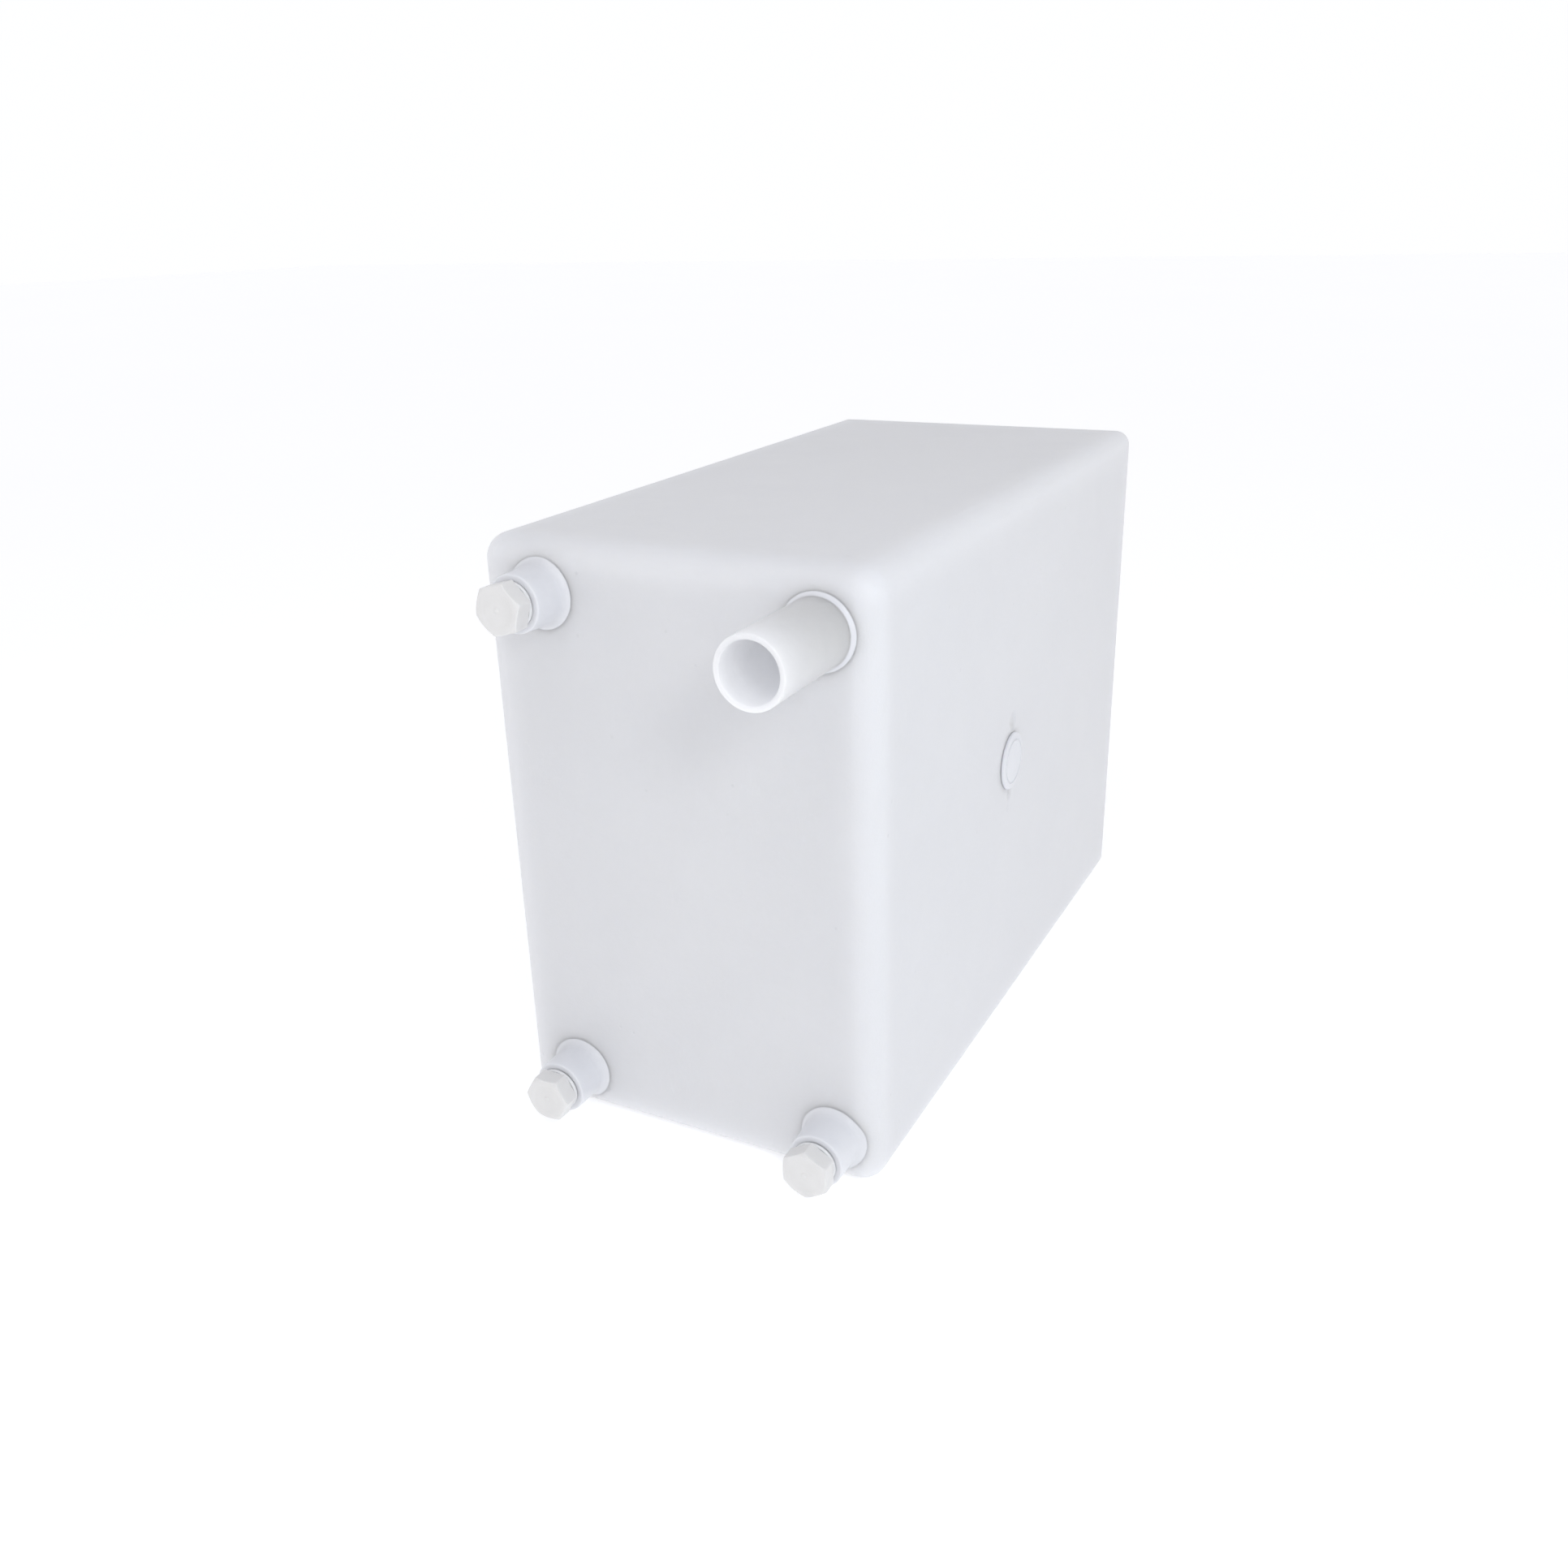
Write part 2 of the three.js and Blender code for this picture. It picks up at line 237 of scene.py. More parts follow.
@dataclass(frozen=True)
class ThickEdgesAndHighlight:
    """A box's edges, where molten plastic gathers and the wall comes out thicker and whiter, and
    where a highlight is painted into the colour as well.

    Attributes:
        middle: The box's middle.
        half: Its half sizes.
        width: Distance from an edge at which the whitening and the painted highlight end.
        colour: Colour at the edge: the thick wall's white with a painted highlight.
    """

    middle: Colour
    half: Colour
    width: float
    colour: Colour

    def mask(self, graph: ShaderGraph, at: Value) -> Value:
        """One at an edge, falling to 0 at the width.

        Of a point's distances to the three pairs of sides the smallest is its own side's, so
        the middle one is its distance to the nearest edge.
        """
        offset = graph.vectors("SUBTRACT", at, self.middle)
        spans = graph.parts(graph.vectors("ABSOLUTE", offset))
        first, second, third = (half - span for half, span in zip(self.half, spans))
        low = graph.maths("MINIMUM", first, second)
        high = graph.maths("MAXIMUM", first, second)
        nearest = graph.maths("MAXIMUM", low, graph.maths("MINIMUM", high, third))
        return nearest.over(self.width, 0.1 * self.width)


FLECK_SHARE = 0.25
# Strength of the edges' whitening: part thick wall, part painted highlight.
EDGE_WHITE_AND_HIGHLIGHT = 0.5
# Strength of the painted shade in the pinholes.
PINHOLE_SHADE_STRENGTH = 0.5
HOLE_DEPTH = 0.12 * MM
SCUFF_STRENGTH = 0.5


@dataclass(frozen=True)
class Plastic:
    """A milky plastic that light enters a little way.

    Attributes:
        name: The material's name.
        pale: Colour where the wall is thick or the plastic cloudy.
        deep: Colour where it is thin or clear.
        roughness: Mean roughness.
        roughness_spread: How far roughness wanders either side of the mean.
        mottle: Size in metres of the cloudy patches.
        peel: Size in metres of the bumps of the orange peel.
        peel_depth: Their depth in metres.
        relief: How the plastic was formed.
        glow: Share of the light that travels through the plastic.
        reach: How far in metres light travels in it.
        scuffs: Strength of the rubbed places, from 0 to 1.
        edges: Where the wall is thicker and so whiter, and a highlight is painted, if anywhere.
    """

    name: str
    pale: Colour
    deep: Colour
    roughness: float
    roughness_spread: float
    mottle: float
    peel: float
    peel_depth: float
    relief: Relief = Relief.INJECTED
    glow: float = 0.35
    reach: float = 5 * MM
    scuffs: float = 0.3
    edges: ThickEdgesAndHighlight | None = None

    def material(self) -> bpy.types.Material:
        """Builds the material.

        Returns:
            A material whose colour drifts between its two whites in soft patches with fine
            flecks, is lighter near a box's edges from thicker wall and a painted highlight,
            and darker in the pinholes with painted shade; whose roughness follows the patches
            and the scuffs, and whose normal carries long waves, orange peel, fine grain and
            scattered pinholes.
        """
        graph = ShaderGraph.of_material(self.name)
        at = graph.coordinates()
        patches = graph.cloud(at, self.mottle, 3.0, 0.45)
        flecks = graph.cloud(at, self.mottle / 14, 3.0, 0.6)
        cloudy = (patches * (1 - FLECK_SHARE) + flecks * FLECK_SHARE).over(0.3, 0.7)
        colour = graph.blend(cloudy, self.deep, self.pale)
        # Lighter near the edges: partly the thicker wall's own white, partly a painted highlight.
        if self.edges is not None:
            edge_white_and_highlight = self.edges.mask(graph, at) * EDGE_WHITE_AND_HIGHLIGHT
            colour = graph.blend(edge_white_and_highlight, colour, self.edges.colour)
        waves = graph.cloud(at, self.mottle / 3, 1.0, 0.4)
        peel = graph.cloud(at, self.peel, 2.0, 0.55)
        grain = graph.cloud(at, self.peel / 5, 2.0, 0.6)
        normal = graph.raised(waves, self.peel_depth * 8)
        normal = graph.raised(peel, self.peel_depth, normal)
        normal = graph.raised(grain, self.peel_depth / 6, normal)
        rubbed = self._scuffs(graph, at)
        if self.relief is Relief.MOULDED_IN_OVEN:
            holes = graph.specks(at, self.peel * 4).over(0.09, 0.03)
            holes = holes * graph.cloud(at, self.mottle / 4, 1.0).over(0.48, 0.62)
            normal = graph.raised(1 - holes, HOLE_DEPTH, normal)
            # Painted shade: each pinhole's colour is darkened as if shade lay in it.
            painted_pinhole_shade = tuple(channel * 0.9 for channel in self.deep)
            colour = graph.blend(holes * PINHOLE_SHADE_STRENGTH, colour, painted_pinhole_shade)
        bright = tuple(min(1.0, channel * 1.05) for channel in self.pale)
        colour = graph.blend(rubbed * SCUFF_STRENGTH, colour, bright)
        rough = self.roughness + (cloudy - 0.5) * self.roughness_spread + rubbed * 0.12
        return graph.finish(
            {
                "Base Color": colour,
                "Roughness": rough,
                "Normal": graph.raised(rubbed, self.peel_depth / 3, normal),
                "IOR": 1.5,
                "Subsurface Weight": self.glow,
                "Subsurface Radius": (1.0, 1.02, 1.08),
                "Subsurface Scale": self.reach,
            }
        )

    def _scuffs(self, graph: ShaderGraph, at: Value) -> Value:
        """Thin rubbed lines, in patches, where one of two stretched clouds passes its middle."""
        lines = graph.cloud(graph.stretched(at, (1.0, 0.08, 0.5)), 2.4 * MM, 2.0, 0.6)
        crossed = graph.cloud(graph.stretched(at, (0.4, 1.0, 0.1)), 3.0 * MM, 2.0, 0.6)
        where = graph.cloud(at, 60 * MM, 2.0, 0.6).over(0.52, 0.7)
        first = abs(lines - 0.5).over(0.012, 0.0)
        second = abs(crossed - 0.5).over(0.01, 0.0)
        return graph.maths("MAXIMUM", first, second) * where * self.scuffs


@dataclass(frozen=True)
class Tape:
    """Unsintered thread tape: matt, fibrous along its length, and thin where it is pulled."""

    name: str = "thread_tape_white"
    pale: Colour = (0.88, 0.88, 0.87)
    thin: Colour = (0.74, 0.75, 0.76)

    def material(self) -> bpy.types.Material:
        """Builds the material from streaks that run along the tape, read off its own map."""
        graph = ShaderGraph.of_material(self.name)
        along = graph.surface_map()
        fibres = graph.cloud(graph.stretched(along, (0.05, 1.0, 1.0)), 0.12 * MM, 3.0, 0.65)
        folds = graph.cloud(graph.stretched(along, (0.2, 1.0, 1.0)), 0.9 * MM, 2.0, 0.5)
        pulled = (fibres * 0.5 + folds * 0.5).over(0.35, 0.65)
        normal = graph.raised(fibres, 0.04 * MM, graph.raised(folds, 0.15 * MM))
        return graph.finish(
            {
                "Base Color": graph.blend(pulled, self.thin, self.pale),
                "Roughness": 0.62 + pulled * 0.16,
                "Normal": normal,
                "IOR": 1.38,
                "Subsurface Weight": 0.25,
                "Subsurface Radius": (1.0, 1.0, 1.0),
                "Subsurface Scale": 1 * MM,
            }
        )


BOX_POLYETHYLENE = Plastic(
    name="natural_polyethylene_box",
    pale=(0.718, 0.722, 0.748),
    deep=(0.696, 0.701, 0.728),
    roughness=0.42,
    roughness_spread=0.10,
    mottle=95 * MM,
    peel=3.2 * MM,
    peel_depth=0.14 * MM,
    relief=Relief.MOULDED_IN_OVEN,
    glow=1.0,
    reach=14 * MM,
    scuffs=0.6,
    # Its edges whiten, partly from thick wall and partly as a painted highlight.
    edges=ThickEdgesAndHighlight(
        middle=(0.0, 0.0, 152.4 * MM),
        half=(101.6 * MM, 203.2 * MM, 152.4 * MM),
        width=24 * MM,
        colour=(0.775, 0.782, 0.81),
    ),
)
FITTING_POLYETHYLENE = Plastic(
    name="natural_polyethylene_fitting",
    pale=(0.73, 0.735, 0.757),
    deep=(0.70, 0.706, 0.73),
    roughness=0.36,
    roughness_spread=0.08,
    mottle=14 * MM,
    peel=1.1 * MM,
    peel_depth=0.02 * MM,
    glow=0.5,
    reach=3 * MM,
    scuffs=0.2,
)
SPOUT_POLYETHYLENE = replace(
    FITTING_POLYETHYLENE,
    name="natural_polyethylene_spout",
    pale=(0.765, 0.77, 0.795),
    deep=(0.74, 0.746, 0.772),
    glow=1.0,
    reach=22 * MM,
)
WELD_POLYETHYLENE = replace(
    FITTING_POLYETHYLENE,
    name="fused_polyethylene_weld",
    pale=(0.715, 0.72, 0.74),
    deep=(0.68, 0.686, 0.708),
    peel_depth=0.03 * MM,
    glow=0.0,
)
DISC_POLYETHYLENE = replace(
    FITTING_POLYETHYLENE,
    name="natural_polyethylene_disc",
    pale=(0.72, 0.724, 0.748),
    deep=(0.69, 0.695, 0.72),
    peel_depth=0.03 * MM,
    glow=0.4,
    reach=1 * MM,
)
PLUG_PLASTIC = Plastic(
    name="warm_white_plug",
    pale=(0.73, 0.723, 0.712),
    deep=(0.70, 0.692, 0.68),
    roughness=0.34,
    roughness_spread=0.08,
    mottle=9 * MM,
    peel=0.9 * MM,
    peel_depth=0.015 * MM,
    glow=0.3,
    reach=2 * MM,
    scuffs=0.5,
)


# Surfaces.


class Skin:
    """One closed body, gathered from grids of points that meet at their edges."""

    def __init__(self) -> None:
        """Starts with no faces."""
        self.points: list[np.ndarray] = []
        self.maps: list[np.ndarray] = []
        self.faces: list[np.ndarray] = []
        self.count = 0

    def add(self, grid: np.ndarray, keep: np.ndarray | None = None) -> None:
        """Adds one grid, with a four-sided face in each of its cells.

        Its map is the distance along the middle row and the middle column, in metres.

        Args:
            grid: Points, rows by columns by three.
            keep: For each cell, whether it gets its face. All do if this is left out.
        """
        rows, columns = grid.shape[:2]
        number = np.arange(rows * columns).reshape(rows, columns) + self.count
        corners = [number[:-1, :-1], number[1:, :-1], number[1:, 1:], number[:-1, 1:]]
        cells = np.stack(corners, axis=-1)
        self.faces.append(cells.reshape(-1, 4) if keep is None else cells[keep])
        down = _lengths(grid[:, columns // 2])
        along = _lengths(grid[rows // 2])
        spread = np.meshgrid(down, along, indexing="ij")
        self.maps.append(np.stack(spread, axis=-1).reshape(-1, 2))
        self.points.append(grid.reshape(-1, 3))
        self.count += rows * columns

    def piece(self, name: str, sharp: float = 38.0) -> bpy.types.Object:
        """Joins the grids where their edges meet and makes the object.

        Args:
            name: The object's name.
            sharp: Angle in degrees past which an edge stays crisp.

        Returns:
            The object, with its faces outward and smooth.
        """
        faces = np.concatenate(self.faces)
        mesh = bpy.data.meshes.new(name)
        mesh.from_pydata(np.concatenate(self.points), [], faces.tolist())
        layer = mesh.uv_layers.new(name="surface")
        layer.uv.foreach_set("vector", np.concatenate(self.maps)[faces.ravel()].ravel())
        work = bmesh.new()
        work.from_mesh(mesh)
        bmesh.ops.remove_doubles(work, verts=work.verts, dist=MERGE_DISTANCE)
        loose = [v for v in work.verts if not v.link_faces]
        bmesh.ops.delete(work, geom=loose, context="VERTS")
        bmesh.ops.recalc_face_normals(work, faces=work.faces)
        open_edges = sum(1 for edge in work.edges if not edge.is_manifold)
        volume = work.calc_volume(signed=True)
        work.to_mesh(mesh)
        work.free()
        mesh.shade_smooth()
        mesh.set_sharp_from_angle(angle=math.radians(sharp))
        made = bpy.data.objects.new(name, mesh)
        bpy.context.scene.collection.objects.link(made)
        log.info(
            "%s: %d faces, %.1f cm3, %d open edges",
            name,
            len(mesh.polygons),
            volume * 1e6,
            open_edges,
        )
        return made


def second_finish(piece: bpy.types.Object, axis: Vector, inner: float, depth: float) -> None:
    """Gives a piece's second material to the faces of its foot.

    Args:
        piece: A fitting on the front.
        axis: Where its axis meets the face.
        inner: Distance from the axis past which those faces lie.
        depth: How far out of the face they reach.
    """
    mesh = piece.data
    centres = np.empty(len(mesh.polygons) * 3)
    mesh.polygons.foreach_get("center", centres)
    x, y, z = centres.reshape(-1, 3).T
    foot = (np.hypot(x - axis.x, z - axis.z) > inner) & (y > axis.y - depth)
    mesh.polygons.foreach_set("material_index", foot.astype(np.int32))
    mesh.update()


def _lengths(line: np.ndarray) -> np.ndarray:
    """Distance along a line of points to each of them."""
    steps = np.linalg.norm(np.diff(line, axis=0), axis=-1)
    return np.concatenate([[0.0], np.cumsum(steps)])


def arc(centre: Point, radius: float, start: float, stop: float, steps: int = 6) -> np.ndarray:
    """Points round part of a circle, from one angle in degrees to another."""
    turn = np.radians(np.linspace(start, stop, steps + 1))
    across, up = centre
    return np.stack([across + radius * np.cos(turn), up + radius * np.sin(turn)], axis=-1)


def run(start: Point, stop: Point, steps: int = 1) -> np.ndarray:
    """Evenly spaced points along a straight line, both ends among them."""
    share = np.linspace(0.0, 1.0, steps + 1)[:, None]
    return np.asarray(start) * (1 - share) + np.asarray(stop) * share


def smooth(share: np.ndarray) -> np.ndarray:
    """Three share squared less two share cubed, with share held between 0 and 1."""
    held = np.clip(share, 0.0, 1.0)
    return held * held * (3 - 2 * held)


def ripple(angle: np.ndarray, seed: int, waves: int = 9) -> np.ndarray:
    """A closed wavy line from -1 to 1: a sum of sines of rising frequency and seeded phases."""
    draws = np.random.default_rng(seed)
    order = np.arange(2, waves + 2)
    phase = draws.uniform(0, TURN, waves)
    size = draws.uniform(0.4, 1.0, waves) / np.sqrt(order)
    total = (size * np.sin(angle[..., None] * order + phase)).sum(axis=-1)
    return total / size.sum()


@dataclass(frozen=True)
class Seat:
    """Where a turned fitting stands: its axis, and which way is its height and its zero angle.

    Attributes:
        origin: Where its axis meets the box's face.
        across: The way of angle zero.
        outward: The way of its height.
        sunk: How far below that flat face the box's real surface lies, at distances from the
            axis along across and up.
    """

    origin: Vector
    across: Vector
    outward: Vector
    sunk: Callable[[np.ndarray, np.ndarray], np.ndarray]

    def place(
        self, radius: np.ndarray, height: np.ndarray, angle: np.ndarray, cling: np.ndarray
    ) -> np.ndarray:
        """Turns radius, height and angle into points.

        A point is the seat's origin, plus radius times the cosine of its angle across, less
        radius times the sine of its angle up, plus its height outward, less cling times the
        depth of the box's own surface there.

        Args:
            radius: Distance from the axis.
            height: Height above the flat of the face.
            angle: Turn about the axis.
            cling: Share of the surface's depth that the point follows.

        Returns:
            The points, with one more axis of three.
        """
        radius, height, angle, cling = np.broadcast_arrays(radius, height, angle, cling)
        side, up = radius * np.cos(angle), -radius * np.sin(angle)
        rise = height - cling * self.sunk(side, up)
        return (
            np.asarray(self.origin)
            + side[..., None] * np.asarray(self.across)
            + rise[..., None] * np.asarray(self.outward)
            + up[..., None] * np.array([0.0, 0.0, 1.0])
        )


# The box.


class Side(Enum):
    """The box's six sides: the axis each one faces along, which way, and the two axes in it."""

    FRONT = (1, -1, 0, 2)
    BACK = (1, 1, 0, 2)
    LEFT = (0, -1, 1, 2)
    RIGHT = (0, 1, 1, 2)
    UNDERSIDE = (2, -1, 0, 1)
    TOP = (2, 1, 0, 1)


@dataclass(frozen=True)
class Dimple:
    """A small round hollow in the right side, left by the mould."""

    y: float
    z: float
    radius: float
    depth: float


@dataclass(frozen=True)
class Opening:
    """A round hole through one side, and the grid lines of the window cut round it.

    The window's edges are given as grid parameters: from -1 to 1 across the flat, and from
    there to 2 round the half of the edge that belongs to the side.
    """

    side: Side
    centre: Point
    radius: float
    window: Window


# Spacing of the box's grid, and for each axis the stretches where it is closer because of a
# fitting or a dimple: first, last and spacing, in millimetres from the box's middle.
GRID_STEP = 6 * MM
DENSE_STRETCHES = (
    ((-82, -52, 2.5), (54, 89.1, 2.5)),
    ((-38, -2, 1.5),),
    ((-139.9, -112, 2.5), (-25, 34, 1.5), (105, 139.9, 2.5)),
)
# Rows of faces between a hole and its window's edge, and how they crowd towards the hole.
RING_ROWS = 5
RING_CROWDING = 1.2


@dataclass
class TankShell:
    """The hollow box.

    Attributes:
        low: Lowest corner.
        high: Highest corner.
        front_radius: Radius of the edges round the front end.
        back_radius: Radius of the edges round the back end.
        wall: Thickness of the wall.
        bow: How far the middle of a large side is drawn in as the plastic cools.
    """

    low: Vector
    high: Vector
    front_radius: float = 12.5 * MM
    back_radius: float = 9 * MM
    wall: float = WALL
    bow: float = 0.9 * MM
    edge_steps: int = 6
    dimples: tuple[Dimple, ...] = ()
    openings: list[Opening] = field(default_factory=list)

    def __post_init__(self) -> None:
        """Works out the middle and the half sizes."""
        self.middle = (np.asarray(self.low) + np.asarray(self.high)) / 2
        self.half = (np.asarray(self.high) - np.asarray(self.low)) / 2
        self.flat = self.half - self.front_radius

    def lines(self, axis: int) -> np.ndarray:
        """Grid lines along one axis, close together where a fitting or a dimple is.

        Args:
            axis: 0, 1 or 2.

        Returns:
            Parameters from -2 to 2.
        """
        size = self.flat[axis]
        marks = [np.linspace(-1, 1, round(2 * size / GRID_STEP) + 1)]
        for first, last, step in DENSE_STRETCHES[axis]:
            low, high, slack = (mark * MM / size for mark in (first, last, 0.3 * step))
            inside = (marks[0] > low - slack) & (marks[0] < high + slack)
            ends = np.abs(marks[0]) == 1
            marks[0] = marks[0][~inside | ends]
            marks.append(np.clip(np.linspace(low, high, round((last - first) / step) + 1), -1, 1))
        flat = np.unique(np.round(np.concatenate(marks), 6))
        flat = flat[np.concatenate([[True], np.diff(flat) > 1e-3])]
        flat[-1] = 1.0
        bend = np.linspace(0, 1, self.edge_steps + 1)[1:]
        return np.concatenate([-1 - bend[::-1], flat, 1 + bend])

    def edge_radius(self, along: np.ndarray) -> np.ndarray:
        """The edges' radius: the front's and the back's, shared in proportion between them."""
        share = (along + 1) / 2
        return self.front_radius * (1 - share) + self.back_radius * share

    def drawn_in(self, side: Side, first: np.ndarray, second: np.ndarray) -> np.ndarray:
        """How far a side is drawn in.

        One less each parameter squared, multiplied together, make a dish that is flat at the
        side's edges, and slow waves across both ways make it uneven.

        Args:
            side: The side.
            first: Parameter along the side's first axis, from -1 to 1.
            second: Parameter along its second.

        Returns:
            A depth, never below zero.
        """
        _, way, one, two = side.value
        span = min(self.half[one], self.half[two]) / self.half.max()
        dish = (1 - first**2) * (1 - second**2)
        phase = 1.7 * one + 0.9 * two + way
        waves = np.sin(2.3 * math.pi * first + phase) * np.sin(1.9 * math.pi * second - phase)
        fine = np.sin(6.1 * first - phase) * np.sin(5.3 * math.pi * second + 2 * phase)
        return self.bow * (0.4 + 0.6 * span) * dish * (1 + 0.35 * waves + 0.12 * fine)

    def surface(self, side: Side, one: np.ndarray, two: np.ndarray, inset: float) -> np.ndarray:
        """Points of a side.

        Each is a point of the inner box whose corners are the centres of the round corners,
        plus the edge's radius there along the normal. On the flat the normal is the side's own,
        and round an edge it leans by the tangent of up to 45 degrees.

        Args:
            side: The side.
            one: Parameter along the side's first axis, from -2 to 2.
            two: Parameter along its second.
            inset: Depth below the outer surface: 0 or the wall.

        Returns:
            The points.
        """
        axis, way, first, second = side.value
        one, two = np.broadcast_arrays(one, two)
        held = np.full((*one.shape, 3), float(way))
        lean = held.copy()
        for number, given in ((first, one), (second, two)):
            held[..., number] = np.clip(given, -1, 1)
            bend = np.sign(given) * np.maximum(np.abs(given) - 1, 0) * math.pi / 4
            lean[..., number] = np.tan(bend)
        normal = lean / np.linalg.norm(lean, axis=-1, keepdims=True)
        radius = self.edge_radius(held[..., 1])[..., None]
        points = self.middle + held * (self.half - radius) + (radius - inset) * normal
        depth = self.drawn_in(side, held[..., first], held[..., second])
        if side is Side.RIGHT and inset == 0:
            depth = depth + self._dimples(points[..., 1], points[..., 2])
        points[..., axis] -= way * depth
        return points

    def _dimples(self, y: np.ndarray, z: np.ndarray) -> np.ndarray:
        """Depth of the hollows at points of the right side: a round flat-floored dish each."""
        total = np.zeros_like(y)
        for dimple in self.dimples:
            away = np.hypot(y - dimple.y, z - dimple.z) / dimple.radius
            total += dimple.depth * smooth((1.15 - away) / 0.5)
        return total

    def sunk_front(self, x: np.ndarray, z: np.ndarray) -> np.ndarray:
        """Depth of the front's surface behind its flat plane: the round edges and the dish."""
        offsets = [x - self.middle[0], z - self.middle[2]]
        limits = [self.flat[0], self.flat[2]]
        past = [np.maximum(np.abs(o) - limit, 0) for o, limit in zip(offsets, limits)]
        left = np.maximum(self.front_radius**2 - past[0] ** 2 - past[1] ** 2, 1e-12)
        held = [np.clip(o / limit, -1, 1) for o, limit in zip(offsets, limits)]
        return self.front_radius - np.sqrt(left) + self.drawn_in(Side.FRONT, *held)

    def sunk_right(self, y: np.ndarray, z: np.ndarray) -> np.ndarray:
        """Depth of the right side's surface behind its flat plane, away from the edges."""
        one, two = self.flat_parameters(y, z)
        return self.drawn_in(Side.RIGHT, one, two)

    def flat_parameters(self, y: np.ndarray, z: np.ndarray) -> tuple[np.ndarray, np.ndarray]:
        """Grid parameters of points on the flat of the right side."""
        along = np.linspace(-1, 1, 2001)
        reached = along * (self.half[1] - self.edge_radius(along))
        one = np.interp(y - self.middle[1], reached, along)
        return one, (z - self.middle[2]) / (self.half[2] - self.edge_radius(one))

    def _front_parameters(self, value: np.ndarray, axis: int, inset: float) -> np.ndarray:
        """Grid parameter of a place on the front, round its edges too."""
        flat, radius = self.flat[axis], self.front_radius - inset
        offset = value - self.middle[axis]
        past = np.clip((np.abs(offset) - flat) / radius, 0, 1)
        return np.sign(offset) * np.where(
            np.abs(offset) > flat, 1 + np.arcsin(past) / (math.pi / 4), np.abs(offset) / flat
        )

    def _ring(self, opening: Opening, edge: np.ndarray, inset: float) -> np.ndarray:
        """The surface between a round hole and its window's square edge.

        Each point of the window's edge has one on the hole at the same angle, and the rows
        between share out the distance over the surface evenly.

        Args:
            opening: The hole.
            edge: Parameters of the window's edge, in order round it, two columns.
            inset: Depth of the surface.

        Returns:
            Points, rows by places round the hole.
        """
        first, second = opening.side.value[2:]
        rim = self.surface(opening.side, edge[:, 0], edge[:, 1], inset)
        angle = np.arctan2(rim[:, second] - opening.centre[1], rim[:, first] - opening.centre[0])
        one = opening.centre[0] + opening.radius * np.cos(angle)
        two = opening.centre[1] + opening.radius * np.sin(angle)
        if opening.side is Side.FRONT:
            places = ((one, first), (two, second))
            found = [self._front_parameters(place, axis, inset) for place, axis in places]
        else:
            found = self.flat_parameters(one, two)
        hole = np.stack(found, axis=-1)
        share = np.linspace(0, 1, RING_ROWS + 1)[:, None] ** RING_CROWDING
        bend = self.front_radius * math.pi / 4
        marks = np.array([-2.0, -1.0, 1.0, 2.0])
        mixed = []
        for column, size in enumerate((self.flat[first], self.flat[second])):
            spans = np.array([-size - bend, -size, size, size + bend])
            start, stop = (np.interp(ends[:, column], marks, spans) for ends in (hole, edge))
            mixed.append(np.interp(start * (1 - share) + stop * share, spans, marks))
        return self.surface(opening.side, *mixed, inset)

    def build(self) -> bpy.types.Object:
        """Builds the outer and inner surfaces, and the walls of the holes between them.

        Returns:
            The shell's object.
        """
        skin = Skin()
        grids = [self.lines(axis) for axis in range(3)]
        for inset in (0.0, self.wall):
            for side in Side:
                one, two = (grids[number] for number in side.value[2:])
                keep = np.ones((len(one) - 1, len(two) - 1), bool)
                for opening in self.openings:
                    if opening.side is side:
                        self._cut(skin, opening, one, two, keep, inset)
                skin.add(self.surface(side, one[:, None], two[None, :], inset), keep)
        return skin.piece("moulded_box")

    def _cut(
        self,
        skin: Skin,
        opening: Opening,
        one: np.ndarray,
        two: np.ndarray,
        keep: np.ndarray,
        inset: float,
    ) -> None:
        """Takes a window out of a side's grid and fills it with a ring round the hole.

        Args:
            skin: The body that the ring joins.
            opening: The hole.
            one: The side's grid lines along its first axis.
            two: Its lines along its second.
            keep: Which cells stay, which this changes.
            inset: Depth of the surface. The inner one adds the hole's wall as well.
        """
        limits = [
            int(np.argmin(np.abs(lines - mark)))
            for lines, mark in zip((one, one, two, two), opening.window)
        ]
        left, right, low, high = limits
        keep[left:right, low:high] = False
        across, up = one[left : right + 1], two[low : high + 1]
        ways = ((across, up[0]), (across[-1], up), (across[::-1], up[-1]), (across[0], up[::-1]))
        sides = [np.stack(np.broadcast_arrays(*way), axis=-1) for way in ways]
        edge = np.concatenate([*(side[:-1] for side in sides[:3]), sides[3]])
        ring = self._ring(opening, edge, inset)
        skin.add(ring)
        if inset:
            outer = self._ring(opening, edge, 0.0)[0]
            skin.add(np.stack([outer, ring[0]]))


# Fittings.


